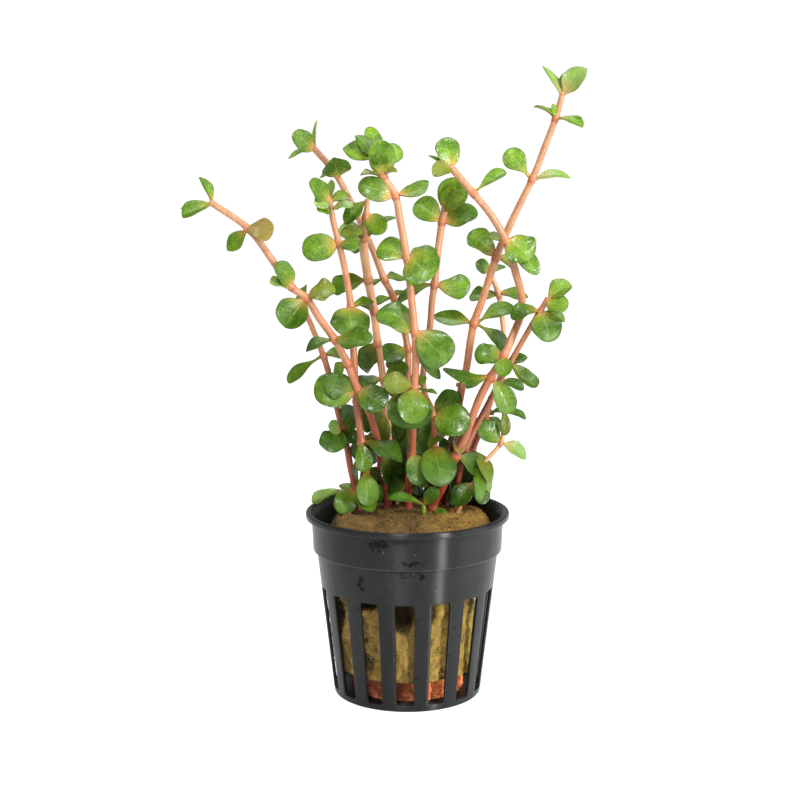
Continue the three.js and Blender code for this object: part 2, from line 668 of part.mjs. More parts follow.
// The swollen ring at a node, which two leaves grow from
function nodeRing({ point, along, across, over, radius }) {
  const rise = along.clone().multiplyScalar(NODE_HEIGHT / 2);
  const inner = radius + NODE_GAP;
  const outer = inner + NODE_SWELLING;
  const low = ringAround(point.clone().sub(rise), across, over, inner, STEM_SIDES);
  const high = ringAround(point.clone().add(rise), across, over, inner, STEM_SIDES);
  const middle = ringAround(point, across, over, outer, STEM_SIDES);
  return solid(ringSkin([low, middle, high]));
}

function makePair(step, leaves) {
  const footRadius = step.radius + NODE_GAP + NODE_SWELLING * LEAF_IN_NODE;
  let body = nodeRing(step);
  for (const leaf of leaves) {
    body = body.add(leafBody(step, leaf, footRadius));
  }
  return body;
}

// A stem in one piece with the leaves at its tip and the single leaves on its way
function makeStem(steps, { pairs, lone = [], crown }) {
  const nodes = [...pairs, ...lone].map(({ at }) => at + 1);
  let body = stemBody(neededSteps(steps, nodes), 0);
  const top = steps[steps.length - 1];
  for (const leaf of crown) {
    body = body.add(leafBody(top, leaf, top.radius * LEAF_IN_TIP));
  }
  for (const { at, leaf } of lone) {
    const step = steps[at + 1];
    body = body.add(leafBody(step, leaf, step.radius * LEAF_IN_STEM));
  }
  return body;
}

// The seedling stands on the wool's top, a gap above it
function makeSeedling() {
  const foot = place(SEEDLING.foot);
  const along = new THREE.Vector3(0, 0, 1);
  const across = new THREE.Vector3(1, 0, 0);
  const over = new THREE.Vector3(0, 1, 0);
  const radius = SEEDLING.thick / 2;
  const head = foot.clone().addScaledVector(along, SEEDLING.height);
  const step = { point: head, along, across, over, radius };
  let body = solid(loft([
    ringAround(foot, across, over, radius, STEM_SIDES),
    ringAround(head, across, over, radius, STEM_SIDES),
  ]));
  for (const leaf of SEEDLING.leaves) {
    body = body.add(leafBody(step, leaf, radius * LEAF_IN_STEM));
  }
  return body;
}

const sockets = [];
STEMS.forEach((stem, number) => {
  const steps = stemFrame(stem);
  sockets.push(socketBody(steps));
  addMesh(stem.name, makeStem(steps, stem), STEM);
  stem.pairs.forEach(({ at, leaves }, k) => {
    addMesh(`leaf_pair_${number + 1}_${k + 1}`, makePair(steps[at + 1], leaves), LEAF);
  });
});
addMesh('seedling', makeSeedling(), LEAF);
addMesh('pot', makePot(), PLASTIC);
addMesh('clay', makeClay(), CLAY);
addMesh('rock_wool', makeWool(sockets), WOOL);

export default plant;
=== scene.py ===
import math
import random

import bmesh
import bpy
import numpy as np
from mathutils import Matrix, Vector, noise


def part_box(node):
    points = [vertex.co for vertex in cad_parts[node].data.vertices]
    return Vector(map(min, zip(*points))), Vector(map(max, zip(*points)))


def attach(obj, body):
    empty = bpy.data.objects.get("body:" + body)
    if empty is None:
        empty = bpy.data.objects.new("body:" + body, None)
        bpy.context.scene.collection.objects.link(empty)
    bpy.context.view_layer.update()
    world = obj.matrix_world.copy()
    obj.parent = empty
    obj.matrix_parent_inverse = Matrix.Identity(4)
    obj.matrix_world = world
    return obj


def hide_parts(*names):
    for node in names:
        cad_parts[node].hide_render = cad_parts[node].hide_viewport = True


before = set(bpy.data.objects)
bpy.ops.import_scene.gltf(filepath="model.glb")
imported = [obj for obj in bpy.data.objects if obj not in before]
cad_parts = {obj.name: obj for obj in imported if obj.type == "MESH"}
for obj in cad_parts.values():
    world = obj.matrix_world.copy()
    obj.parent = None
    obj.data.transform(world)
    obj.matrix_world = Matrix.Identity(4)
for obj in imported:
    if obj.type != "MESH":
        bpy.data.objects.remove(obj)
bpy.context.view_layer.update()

MM = 0.001

# The eye that the elevation was read from, and its lens
EYE = Vector((-2, -422, 148))
PITCH_DEGREES = 9.15
LENS_MM = 72
SENSOR_MM = 36

# The pot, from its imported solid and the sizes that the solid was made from
POT_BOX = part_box("pot")
RIM_RADIUS = POT_BOX[1][0] / MM
POT_HEIGHT = POT_BOX[1][2] / MM
RIM_WIDTH = 1.45
RIM_DEPTH = 1.7
COLLAR_RADIUS_TOP = 25.9
COLLAR_RADIUS_BOTTOM = 25.45
STEP_HEIGHT = 39.6
WALL_RADIUS_TOP = 24.5
BASE_RADIUS = 19.9
WALL = 0.9
FLOOR = 1.2
SLOTS = 15
SLOT_WIDTH_DEGREES = 13
FRONT_SLOT_DEGREES = -1.8
SLOT_BOTTOM = 1.85
SLOT_TOP = 29.9
DRAIN_SLOTS = 5
DRAIN_WIDTH = 2.6
DRAIN_START = 7
DRAIN_END = 15
DRAIN_END_STEPS = 8
SHARP_DEGREES = 50
SAME_POINT = 0.004

# Stems
STEM_ROOT = 37.5
ROOT_DRAWN_IN = 0.97
STEM_SIDES = 20
STEM_STEPS = 32
STEM_TAPER = 2.5
STEM_FULLNESS = 0.85
STEM_WANDER = 0.06
NECK_LOSS = 0.55
NECK_LENGTH = 1.6
NODE_REACH = 0.95
NODE_SWELLING = 0.2
SCAR_REACH = 0.4
SCAR_RISE = 0.06

# Leaves
LEAF_RINGS = 28
LEAF_ACROSS = 14
LEAF_THICKNESS = 0.34
PETIOLE_WIDTH = 0.95
USUAL_ARCH = 0.05
SIDE_VEINS = 6.5
VEIN_SLANT = 0.2

# How far out in a stem the foot of a leaf is, as a share of the stem's radius
CROWN_FOOT = 0.3
LONE_FOOT = 0.5
PAIR_FOOT = 0.6
SEEDLING_FOOT = 0.4

# Each stem: its thickness at the foot and at the tip, its route from foot to tip as
# [x, z, depth], its leaf pairs, its lone leaves and the crown of leaves at its tip. A pair or a
# lone leaf starts with its place: how many points up the route it is, where a lone leaf may
# stand between two points. A pale stem is that much lighter, and a neck is the point of the
# route above which the stem narrows.
# A leaf is [x, z, away, width, turn, arch, names]: where its tip is seen, how much deeper its
# tip is than its foot, its width, how far its upper face turns up from facing the eye, in
# degrees, the height of its arch as a share of its length, and the names of its form and
# colour. An arch that isn't given is the usual one.
STEMS = [
    dict(thick=[2.4, 1.95], route=[
        [-5.2, 51.5, 11], [-7, 62, 8], [-8.2, 69.2, 5.5], [-10.2, 76.7, 1], [-13.3, 82.9, -3],
        [-16.1, 90, -5], [-19.5, 96.5, -7], [-23.6, 102.3, -9], [-26.8, 107.3, -10], [-31, 110.5, -11],
        [-35, 116.4, -12], [-41.9, 125.6, -12.5], [-51.3, 132.3, -13],
    ], pairs=[
        (11, [-47.5, 119.9, 2, 4.6, 34, 0.02, "lance"],
            [-36.2, 123.3, -3, 7, 30, 0.12, "round", "brown", "humped"]),
        (9, [-34.1, 116.6, -3.5, 5.6, 30, "round"], [-36.2, 111.8, -3, 5.2, 66, "pale"]),
        (8, [-32.6, 99.6, -3, 8.8, 14, "folded"], [-19.2, 109.6, -2, 7, 38, 0.1, "wavy", "olive"]),
        (6, [-27.1, 93.5, -2, 5, 62, 0.1, "lance", "dark"], [-9.8, 95.4, -8, 7.4, 30, "wavy"]),
        (4, [-25, 82.7, -1, 9.6, 10, "round", "light"],
            [-5.9, 78.2, -4.5, 8.2, 18, 0.02, "round", "dark"]),
    ], lone=[
        (4, [-22.4, 84.8, -2.4, 6.8, -6, 0, "round", "night"]), (5, [-19.6, 86.2, 3, 4.6, 40, "light"]),
        (1, [-11.8, 55.8, 3, 6.6, 22, "dark"]), (1.4, [-3.4, 57.6, 3, 6.6, 22, "dark"]),
        (2.2, [-14.2, 64, 4, 5.6, 30, "dark"]),
    ], crown=[
        [-54.3, 139.2, 0, 4.6, 66, 0, "lance"], [-59.2, 129, -2, 5, 40, 0, "folded"],
        [-59.9, 131.4, 3, 3, 70, 0, "lance", "light"],
    ]),
    dict(thick=[2.1, 1.75], route=[
        [-13.2, 51.8, 8], [-14, 55.5, 8.5], [-15.2, 61, 9], [-16.3, 67.5, 9], [-17.5, 72.3, 9.5],
        [-19, 78.5, 10], [-20.8, 86.5, 11], [-22.4, 92, 11], [-24.9, 98.5, 11.5], [-28.2, 106.5, 12],
    ], pairs=[
        (7, [-32, 84.8, 0, 4.4, 40, "spoon", "light"], [-15.5, 91.2, 3.5, 6, 64, 0.1]),
        (4, [-21.4, 66.1, -6, 7.8, 22, "wavy", "dim"], [-14.2, 78, -3.5, 7.2, 24, 0, "round", "dark"]),
        (1, [-18.4, 49.4, -6, 6.8, 12, "round", "light"], [-25.8, 52.2, -3, 5, 130, "spoon", "pale"]),
    ], lone=[
        (4, [-20.9, 73, -5, 4, 20, 0, "round", "pale"]), (0.6, [-18.4, 56.8, 2, 4.2, 50, 0.1, "olive"]),
        (0.6, [-9.6, 49.8, -9.5, 5.6, 20, "light"]), (4, [-14.6, 68.4, -3, 5, 15, "dark"]),
    ], crown=[
        [-27.6, 110.6, 4, 5, 60, 0], [-30, 103.5, 4, 5, 40, 0.1],
    ]),
    dict(thick=[2.4, 1.7], route=[
        [-10.2, 51.5, 7], [-11.4, 60.8, 5], [-12.3, 68.6, 3.5], [-12.9, 73.6, 3.5], [-13.6, 79.5, 3.5],
        [-14.2, 90, 3], [-14.5, 97, 3], [-15, 105, 2], [-16.3, 113.7, 1], [-18.1, 121.8, 0],
        [-19.6, 127.9, 0], [-20.3, 132.7, 0],
    ], pairs=[
        (9, [-27.6, 119.7, -2, 7.4, 12, "round"], [-12.9, 120.9, -4, 5.5, 42, 0.1]),
        (7, [-15.3, 97.4, -5.5, 10.7, 8, "round", "wavy"], [-9, 106.4, 3.5, 4.4, 52]),
        (2, [-11.6, 60.4, -4, 5.2, 18, "light"], [-1.6, 63.8, -5, 7.6, 46, 0.1, "wavy", "dark"]),
        (1, [-10.6, 51, -5, 6.6, 10, "light"]),
    ], lone=[
        (1.6, [-14.4, 57.2, 2, 4, 58, "dark"]), (4, [-9.8, 71.4, 4, 5, 20, "dark"]),
        (0.6, [-6.6, 52.4, 1, 5, 40, "dark"]), (10.6, [-14.3, 131.7, -3, 4.2, 52, 0.1, "wavy", "pale"]),
        (10.4, [-23.4, 130.6, -4, 3.6, 50, 0.1, "round"]),
    ], crown=[
        [-25.6, 138, -4, 5.8, 30, "round"], [-19.9, 138.4, 3, 4.5, 62, 0, "lance", "pale"],
        [-15.2, 134.6, 2, 4.4, 42, "light"], [-23.9, 132, -4, 4.5, 48, 0.1, "pale"],
    ]),
    dict(thick=[2.2, 2], route=[
        [-0.8, 53.3, 18], [-0.8, 62, 18], [-0.4, 73, 18], [0.1, 85, 18.5], [0, 94, 18.5],
        [-1.6, 101.3, 18.5], [-3.8, 107.6, 18], [-6.2, 112.4, 17], [-9.4, 120.6, 15.5],
        [-14.5, 131.8, 13], [-19.3, 140.5, 12], [-24.4, 146.4, 11],
    ], pairs=[
        (10, [-22.8, 139.6, 3.5, 4, 45, 0.1]),
        (7, [-0.4, 112.8, 4, 5.6, 66], [-9.4, 110.8, -3, 3.5, 60, 0.1]),
        (6, [-8.2, 105.5, -3, 4, 58, 0.1], [-0.2, 109.6, 4.5, 4, 58]),
        (4, [-6.6, 91.2, -4.5, 7, 34, "dark"], [5, 90, 5, 6, 40, 0.1]),
        (2, [-5.4, 63, -3, 8, 12, "dark"], [5.4, 62.5, -2, 8, 12, "dark"]),
    ], lone=[
        (9.8, [-19.3, 144.2, -6, 7.8, 6, "lance", "dark"]), (4, [-5.2, 88.6, -3, 5, 40, "olive"]),
        (3, [-4.8, 81.4, -2, 5, 30, "olive"]), (2.6, [-6.4, 67.4, -1, 8, 12, "dark"]),
        (2.8, [6, 67, -1, 8, 12, "dark"]), (0.8, [-4.8, 56.4, 3, 7.4, 26, "dark"]),
        (0.6, [0.6, 52, 2, 7, 20, "dark"]), (0.7, [4.4, 55.8, 4, 7.4, 24, "dark"]),
    ], crown=[
        [-29.9, 150.2, -4, 5.8, 28, "round"], [-24, 153.8, 1, 2.6, 76, 0, "lance", "pale"],
        [-31.2, 143.7, 1, 3.2, 68, 0.1, "lance", "pale"],
    ]),
    # This stem's pale share is painted light: it lifts the stem as if brightly lit.
    dict(thick=[2.1, 3.5], pale=0.35, neck=7, route=[
        [-3.2, 52.8, 14.5], [-4.4, 62, 13.5], [-5.5, 76, 11.5], [-6.5, 85.8, 9.5], [-8, 95.5, 8],
        [-8.9, 104, 7], [-10.4, 112.2, 7], [-11.7, 123.2, 6.5], [-10.9, 129, 6], [-10.6, 132.8, 6],
    ], pairs=[
        (7, [-18.2, 125, -3.5, 5.6, 40, 0.1, "wavy", "pale"], [-3.3, 128.9, 3, 4.5, 50, 0.1]),
        (3, [-14, 84, -1, 6, 54], [0.2, 88.4, -4, 6.4, 30, "wavy"]),
    ], lone=[
        (8, [-6.2, 124.6, -3, 5.8, 12, "round", "light"]),
        (7.6, [-16.6, 123.6, -5, 6.4, 56, "wavy", "olive"]), (7.4, [-14.8, 119.4, 3, 5, 30, "dark"]),
        (6, [-19.8, 109.4, 1, 6.6, 42, "wavy"]), (5, [-13.6, 106, 2, 3.8, 58]),
        (4, [-12, 87.8, 2, 7, 36]), (3.5, [-11.4, 89.8, 2, 4.6, 40, "olive"]),
        (1.6, [-8.8, 77.8, 3, 4.6, 30, "olive"]), (2, [-7.4, 67.6, -3, 5, 24, "olive"]),
        (1, [-8.6, 53.8, -1, 7.4, 18, "dark"]), (0.8, [-5.6, 51.6, 1, 7, 16, "dark"]),
        (1.3, [1.2, 55.4, 1, 7, 22, "dark"]), (1.8, [-11, 62.5, 2, 6.4, 26, "dark"]),
    ], crown=[
        [-16.2, 126.8, -3, 5, 44, 0.08, "wavy", "dim"],
    ]),
    dict(thick=[2.3, 2.1], route=[
        [0.4, 51.3, 8], [0.3, 57.5, 5.5], [1.2, 65.6, 2.5], [1.5, 73, -0.5], [1.8, 83.2, -5],
        [2.2, 90, -6], [1.9, 98.4, -7], [1.1, 106.6, -7], [-0.2, 118, -7], [-2, 127.8, -7],
        [-3.3, 134.3, -7], [-6.4, 139.4, -7], [-8, 144.3, -6.5],
    ], pairs=[
        (11, [-12.4, 139.6, -2.5, 4.5, 74, 0.1, "lance", "olive"],
            [-2.8, 140.6, -2, 4.2, 74, 0.1, "lance", "olive"]),
        (10, [-12.8, 137.3, -1, 6.5, 20, 0.1, "round"],
            [5.5, 138.2, 1, 5.4, 48, 0.02, "lance", "sagging"]),
        (8, [-7.5, 121.8, 3.5, 7.6, 28], [6.6, 113.2, -5, 10.8, 5, "round"], [7.4, 120.6, 4, 6, 50, 0]),
        (6, [11, 90.4, -2, 10.2, 10, "glossy"], [-8, 103.8, 2, 7.8, 18, "round", "humped"]),
        (4, [1.1, 73.8, -5.5, 8.6, 2, 0.08, "round", "light"],
            [-0.3, 72.2, -2.5, 12.2, 2, "round", "dim"], [8, 81.7, 1, 4, 80, 0]),
        (2, [3.4, 56.8, -3.5, 6.2, 10, "round"]),
    ], lone=[
        (11, [-7.5, 148.3, -3.5, 7, 6, "round"]),
        (11.4, [-7.5, 145.2, -5.6, 4, 4, "disc", "dark", "glossy"]), (4, [4, 86.8, 2, 5, 40, "light"]),
        (4.1, [-6.6, 84.9, -3.5, 6, 24, 0.12, "wavy", "olive"]),
        (5.3, [9.4, 85.6, 3, 3.6, 20, 0, "lance"]), (0.8, [-5.4, 55.2, 3, 7, 20, "dark"]),
        (1.4, [6.4, 58.4, 4, 6.6, 24, "dark"]),
    ], crown=[
        [-9.8, 152.2, 1.5, 4.8, 15, 0, "round"], [-13.6, 149.8, -1, 4.6, 40, 0, "lance", "dark"],
        [-16.9, 146.8, 0, 6.2, 26, "lance"], [-1.2, 145.5, 2, 5.2, 20, "round"],
    ]),
    dict(thick=[1.9, 2.4], route=[
        [5.9, 52, 10], [7, 60, 6.5], [7.2, 67.5, 4.5], [6.9, 76.2, 2.5], [4.7, 81.5, 4], [4.1, 85.5, 4.5],
        [5, 93, 4.5], [6, 100.1, 4], [6.4, 105.6, 4], [7.1, 111, 4], [7.9, 119, 5], [9.1, 127.6, 6],
        [9.7, 130.4, 6.2],
    ], pairs=[
        (11, [1.9, 132.3, 0, 7.2, 22, 0.1], [18.2, 130.4, -1, 7, 28, 0.08, "round", "dark"]),
        (9, [16.6, 111.4, 1, 7.4, 30, 0, "sagging"], [-2.8, 106.4, 4, 5.6, 62]),
        (3, [16.4, 72.6, -5.5, 9.2, 12, "round", "glossy"], [13.9, 81.9, 2, 7, 28, "dark"]),
        (2, [9.4, 56.4, -8.5, 9.6, 2, "disc", "matt"]),
    ], crown=[
        [13.6, 138.8, 1, 8.2, 15, "round"], [11.1, 136.9, -1, 4.2, 25, 0, "round", "light"],
        [15.6, 134.8, -5, 4.8, 46, 0.15, "round", "light"],
    ]),
    dict(thick=[2.5, 1.8], route=[
        [10.2, 52.6, 12.5], [11.5, 62, 11], [13, 72, 8.5], [14.1, 81.2, 6.5], [15.6, 88.1, 5.5],
        [17.6, 100.7, 5], [19.7, 106.6, 5], [23.4, 118.2, 5], [28.1, 129.2, 4.5], [32.6, 138.6, 4],
        [36.4, 148.6, 3.5], [38.5, 154.4, 3], [40.1, 160.3, 3],
    ], pairs=[
        (11, [32.8, 157, 3, 5, 80, 0.1], [45.5, 151.8, -3.5, 5, 62, 0.08]),
        (9, [25.8, 146, 0, 6.2, 24, "spoon"], [42.7, 139.3, 0, 4.8, 62, 0.1, "lance", "pale"]),
        (7, [16.3, 124.7, 1, 6.6, 36, "wavy"], [28.5, 115.5, 4, 5, 40, 0.1]),
        (5, [6.5, 103, 4, 5.4, 44, -0.04, "lance"], [28.4, 105.4, 3, 6.6, 40, 0.1, "spoon"],
            [27, 92.8, 1, 6, 40, 0.08, "spoon", "dark"]),
    ], lone=[
        (11, [37.5, 157.8, -2, 2, 30, 0.1, "light"]), (3.4, [12.9, 84.1, -1, 1.5, 20, 0, "brown"]),
        (1.6, [8.4, 66.6, 3, 5.4, 20, "dark"]), (1.8, [5.8, 67, -7, 4.6, 50, 0.3, "olive"]),
        (1.6, [14, 65.6, -11, 4.8, 34, 0.3, "brown", "humped"]), (1, [13.6, 55.4, 3, 7, 26, "dark"]),
        (1.2, [5.4, 59.6, 4, 6.4, 26, "dark"]), (0.8, [6.8, 52.8, 4, 7.6, 20, "dark"]),
    ], crown=[
        [34.9, 167.6, 1, 4.4, 64, 0, "lance", "pale"], [46.3, 167, -1, 7, 30, 0.06, "lance", "pale"],
        [41.2, 166.2, 2, 4.4, 30, 0, "dark"],
    ]),
    dict(thick=[2.6, 2.1], route=[
        [6.9, 50.6, 5], [9.6, 56.5, 3.5], [13, 64.8, 1], [15.4, 70, 0], [17.2, 75, -0.5], [19.5, 81, -1],
        [22.2, 86.2, -1.5], [25.6, 91.8, -1.5], [28.2, 98, 0.5], [29.9, 102.5, 1.5], [30.2, 107.5, 1],
        [28.6, 113.7, -1], [25.8, 122.4, -2.5], [22.2, 128.7, -3], [17.1, 134.9, -3], [11.3, 141.5, -2.5],
    ], pairs=[
        (12, [32.7, 117.8, -3, 8.8, 18, 0.08, "round", "wavy", "glossy"],
            [34.4, 113.6, -2, 4.8, 30, "glossy"], [20, 123, 4, 5, 66, 0.1]),
        (7, [17.8, 92.4, 0, 6, 28, "round", "wavy"], [25.3, 86.4, -4, 5.2, 8, 0.1, "light"]),
        (6, [9.5, 88.6, -4, 5.2, 44, 0, "dark", "sagging"], [27.7, 76.4, -1, 6.4, 24, "light", "glossy"]),
    ], lone=[
        (0, [10.8, 48, -3.6, 3, 26, 0, "disc", "light"]), (2, [19.4, 60.4, 5, 6.4, 40, "dark"]),
        (14, [25.6, 140.7, 1, 5.2, 50, 0.02, "spoon"]), (6, [15.4, 83.6, 1, 3.6, 48, "pale"]),
    ], crown=[
        [9.5, 149.2, 0, 6.4, 18, "round"], [5.5, 144.9, 0, 1.8, 60, 0, "lance"],
        [6.8, 139.6, -4, 5, 34, 0.1, "olive"],
    ]),
    dict(thick=[1.9, 1.75], route=[
        [12.8, 51.8, 7.5], [14.5, 62, 5], [16.4, 69, 4.6], [18.5, 73.1, 4.4], [20.5, 77, 4.2],
        [22.5, 81, 3.8], [25, 85.8, 3], [27.3, 90, 2], [31.4, 97.4, -1], [35.1, 103.8, -3],
        [36.9, 106.9, -3.4],
    ], pairs=[
        (9, [38, 96, -4.5, 8.2, 10, "round"], [41.6, 101, 0, 4, 40, "folded", "light"],
            [27.3, 102.4, -1, 5.4, 50, 0.15, "wavy"]),
        (7, [31.9, 91.6, 1, 3.5, 35], [35, 84, -1, 5, 44, 0.04, "folded", "sagging"]),
    ], crown=[
        [43, 111.2, 1, 5.5, 32, "folded", "light"], [42.1, 104.6, -4, 5.6, 25, "round", "light"],
    ]),
    dict(thick=[1.7, 1.65], pale=0.3, route=[
        [8.5, 53, 17], [14, 62, 17.5], [20, 74, 18.5], [24.3, 85, 19.5], [25.6, 95, 20], [25, 102.5, 20],
        [24, 108.4, 20], [21.6, 114.3, 20],
    ], pairs=[
        (6, [16.6, 108.9, 4, 6, 50, 0, "sagging"], [31.9, 107.6, 1, 6.2, 56]),
    ], lone=[
        (3, [31.1, 82.9, -1, 3.5, 40, 0.15]), (0.6, [4.6, 60.2, 3, 6.6, 26, "dark"]),
        (0.5, [11.8, 52.8, 2, 7, 24, "dark"]), (0.9, [16.4, 57.4, 2, 6.4, 30, "dark"]),
        (1.6, [10.8, 68.6, 3, 5.8, 34, "dark"]),
    ], crown=[
        [18.1, 116.8, -3, 4.2, 25, 0], [25.5, 116.2, 3, 3.5, 50, 0],
    ]),
    dict(thick=[2, 1.9], route=[
        [15.2, 52.6, 12], [16.8, 59, 11.5], [17.6, 66.2, 11], [19.5, 71.5, 10.5], [20.9, 75.4, 10],
        [22.2, 80.4, 9.5],
    ], pairs=[
        (4, [25.2, 71.6, 3, 4.5, 30], [18.4, 73.2, -3, 3, 50, 0.1]),
        (2, [22.4, 58.2, -10, 4.3, 40, 0.1, "olive"], [14.2, 56.4, -2, 7, 20, "dark"]),
    ], lone=[
        (1, [20.8, 52, -6, 6.4, 24, "wavy"]), (1.8, [19.8, 53, -12, 4.4, 26, 0.1, "light"]),
        (2, [22.6, 55.2, -4.5, 3.4, 30, "pale"]), (0.3, [12, 51, -6, 6.2, 42, "dark", "glossy"]),
        (4.2, [22.9, 76.6, 2, 2.2, 30, "brown"]),
    ]),
    dict(thick=[1.5, 1.2], pale=0.5, route=[
        [14, 50.4, 3], [16.5, 55.4, 4], [18.9, 59, 5], [21.2, 63.5, 6], [25.2, 68.5, 6.5],
        [25.6, 72.2, 6.8], [25.8, 77, 7],
    ], pairs=[
        (4, [18.6, 73.4, -1, 6.2, 30], [32.2, 64.3, 0, 5, 34, "lance", "pale"]),
    ], lone=[
        (1.5, [12.8, 51.4, -3.5, 6.4, 24, "dark", "glossy"]),
    ], crown=[
        [22.8, 77.4, 3, 3.5, 50, 0], [32, 75.4, 1, 3, 40, 0.1], [26.2, 70.4, -1.6, 3, 20, 0.1, "olive"],
    ]),
]

# A seedling on the wool, between the stems
SEEDLING = dict(
    foot=[4.4, 49.7, -1],
    thick=1.6,
    height=1.8,
    leaves=[[-4.9, 53.6, -1, 4, 60], [7.9, 56, -2, 4, 25]],
)


def linear(red, green, blue):
    """A screen colour, 0 to 255, as the linear colour that a shader takes."""
    parts = [c / 255 for c in (red, green, blue)]
    return tuple(c / 12.92 if c <= 0.04045 else ((c + 0.055) / 1.055) ** 2.4 for c in parts) + (1,)


def place(reading):
    """A point of the elevation, set back to its depth along the line of sight."""
    x, z, depth = reading
    stretch = (depth - EYE.y) / -EYE.y
    return Vector((EYE.x + (x - EYE.x) * stretch, depth, EYE.z + (z - EYE.z) * stretch))


def add_object(name, data):
    """A new object of the scene with this data."""
    made = bpy.data.objects.new(name, data)
    bpy.context.scene.collection.objects.link(made)
    return made


def strips(rows, count):
    """The faces between rings of points that follow one another."""
    faces = []
    for row in range(rows - 1):
        for k in range(count):
            here, beside = row * count + k, row * count + (k + 1) % count
            faces.append((here, beside, beside + count, here + count))
    return faces


class Skin:
    """The points and faces of one piece in millimetres, with values painted on its points.

    place: three numbers for each point that the material reads, such as how far along and
    across a leaf it is.
    tint: three numbers for each leaf: one of its own, its tone and its wetness.
    """

    def __init__(self):
        self.points = []
        self.faces = []
        self.place = []
        self.tint = []

    def add(self, points, faces, where=None, tint=(0, 0, 0)):
        first = len(self.points)
        self.points.extend(tuple(p) for p in points)
        self.faces.extend(tuple(first + i for i in face) for face in faces)
        self.place.extend([(0, 0, 0)] * len(points) if where is None else where)
        self.tint.extend([tint] * len(points))

    def loft(self, rings, where=None, tint=(0, 0, 0)):
        """A closed skin over rings of points, each counterclockwise about the row's direction."""
        rings = np.asarray(rings)
        rows, count = rings.shape[:2]
        faces = strips(rows, count)
        faces.append(tuple(range(count - 1, -1, -1)))
        faces.append(tuple((rows - 1) * count + k for k in range(count)))
        where = None if where is None else [tuple(w) for w in np.asarray(where).reshape(-1, 3)]
        self.add(rings.reshape(-1, 3), faces, where, tint)

    def piece(self, name, material, slot, nodes=()):
        """The piece itself, in place of its solids. Its slot is not used."""
        mesh = bpy.data.meshes.new(name)
        mesh.from_pydata([(x * MM, y * MM, z * MM) for x, y, z in self.points], [], self.faces)
        for label, values in (("place", self.place), ("tint", self.tint)):
            layer = mesh.attributes.new(label, "FLOAT_VECTOR", "POINT")
            layer.data.foreach_set("vector", np.asarray(values, dtype=np.float32).ravel())
        mesh.materials.append(material)
        mesh.polygons.foreach_set("use_smooth", [True] * len(mesh.polygons))
        mesh.validate()
        mesh.update()
        made = add_object(name, mesh)
        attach(made, "root")
        if nodes:
            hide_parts(*nodes)
        return made


class Shader:
    """The nodes of one material or surround, made a call at a time, and its colour so far."""

    def __init__(self, owner):
        self.owner = owner
        owner.use_nodes = True
        owner.node_tree.nodes.clear()
        self.where = self.node("TexCoord")["Object"]
        self.colour = None

    def node(self, kind, inputs=None, **settings):
        """The outputs of a new node, its inputs linked or set."""
        tree = self.owner.node_tree
        made = tree.nodes.new("ShaderNode" + kind)
        for key, value in settings.items():
            setattr(made, key, value)
        for key, value in (inputs or {}).items():
            if isinstance(value, bpy.types.NodeSocket):
                tree.links.new(value, made.inputs[key])
            else:
                made.inputs[key].default_value = value
        return made.outputs

    def math(self, operation, *values):
        """The result of one operation on numbers or outputs."""
        return self.node("Math", dict(enumerate(values)), operation=operation)[0]

    def times(self, first, *others):
        for other in others:
            first = self.math("MULTIPLY", first, other)
        return first

    def plus(self, first, *others):
        for other in others:
            first = self.math("ADD", first, other)
        return first

    def minus(self, first, second):
        return self.math("SUBTRACT", first, second)

    def mix(self, share, first, second, blend="MIX"):
        inputs = {0: share, 6: first, 7: second}
        return self.node("Mix", inputs, data_type="RGBA", blend_type=blend)[2]

    def noise(self, grain_mm, detail=4, rough=0.5, distortion=0, vector=None):
        inputs = {
            "Vector": vector or self.where, "Scale": 1 / (grain_mm * MM), "Detail": detail,
            "Roughness": rough, "Distortion": distortion,
        }
        return self.node("TexNoise", inputs)["Fac"]

    def stretched(self, x, y, z):
        """The object's own coordinates, stretched by these factors."""
        inputs = {0: self.where, 1: (1 / x, 1 / y, 1 / z)}
        return self.node("VectorMath", inputs, operation="MULTIPLY")[0]

    def band(self, value, low, high, start=0, end=1):
        """A smooth step from one number to another as a value goes from low to high."""
        inputs = {"Value": value, "From Min": low, "From Max": high, "To Min": start, "To Max": end}
        return self.node("MapRange", inputs, interpolation_type="SMOOTHSTEP")[0]

    def between(self, value, low, high, first, second):
        """A step from one screen colour to another as a value goes from low to high."""
        return self.mix(self.band(value, low, high), linear(*first), linear(*second))

    def parts(self, vector):
        """The three numbers of a vector."""
        return self.node("SeparateXYZ", {0: vector})[:]

    def painted(self, name):
        """The three numbers painted on a piece under this name."""
        return self.parts(self.node("Attribute", attribute_name=name)["Vector"])

    def paint(self, share, *screen_colour):
        """Lays a share of a screen colour over the colour so far."""
        self.colour = self.mix(share, self.colour, linear(*screen_colour))

    def shade(self, tint):
        """Multiplies the colour so far by a tint."""
        self.colour = self.mix(1, self.colour, tint, "MULTIPLY")

    def bump(self, height, depth_mm):
        return self.node("Bump", {"Height": height, "Strength": 1, "Distance": depth_mm * MM})[0]

    def principled(self, **inputs):
        """A surface in the colour so far, its inputs named with _ for a space."""
        named = {key.replace("_", " "): value for key, value in inputs.items()}
        return self.node("BsdfPrincipled", {"Base Color": self.colour, **named})[0]

    def done(self, surface, kind="Material"):
        """The finished material or surround."""
        self.node("Output" + kind, {"Surface": surface})
        return self.owner


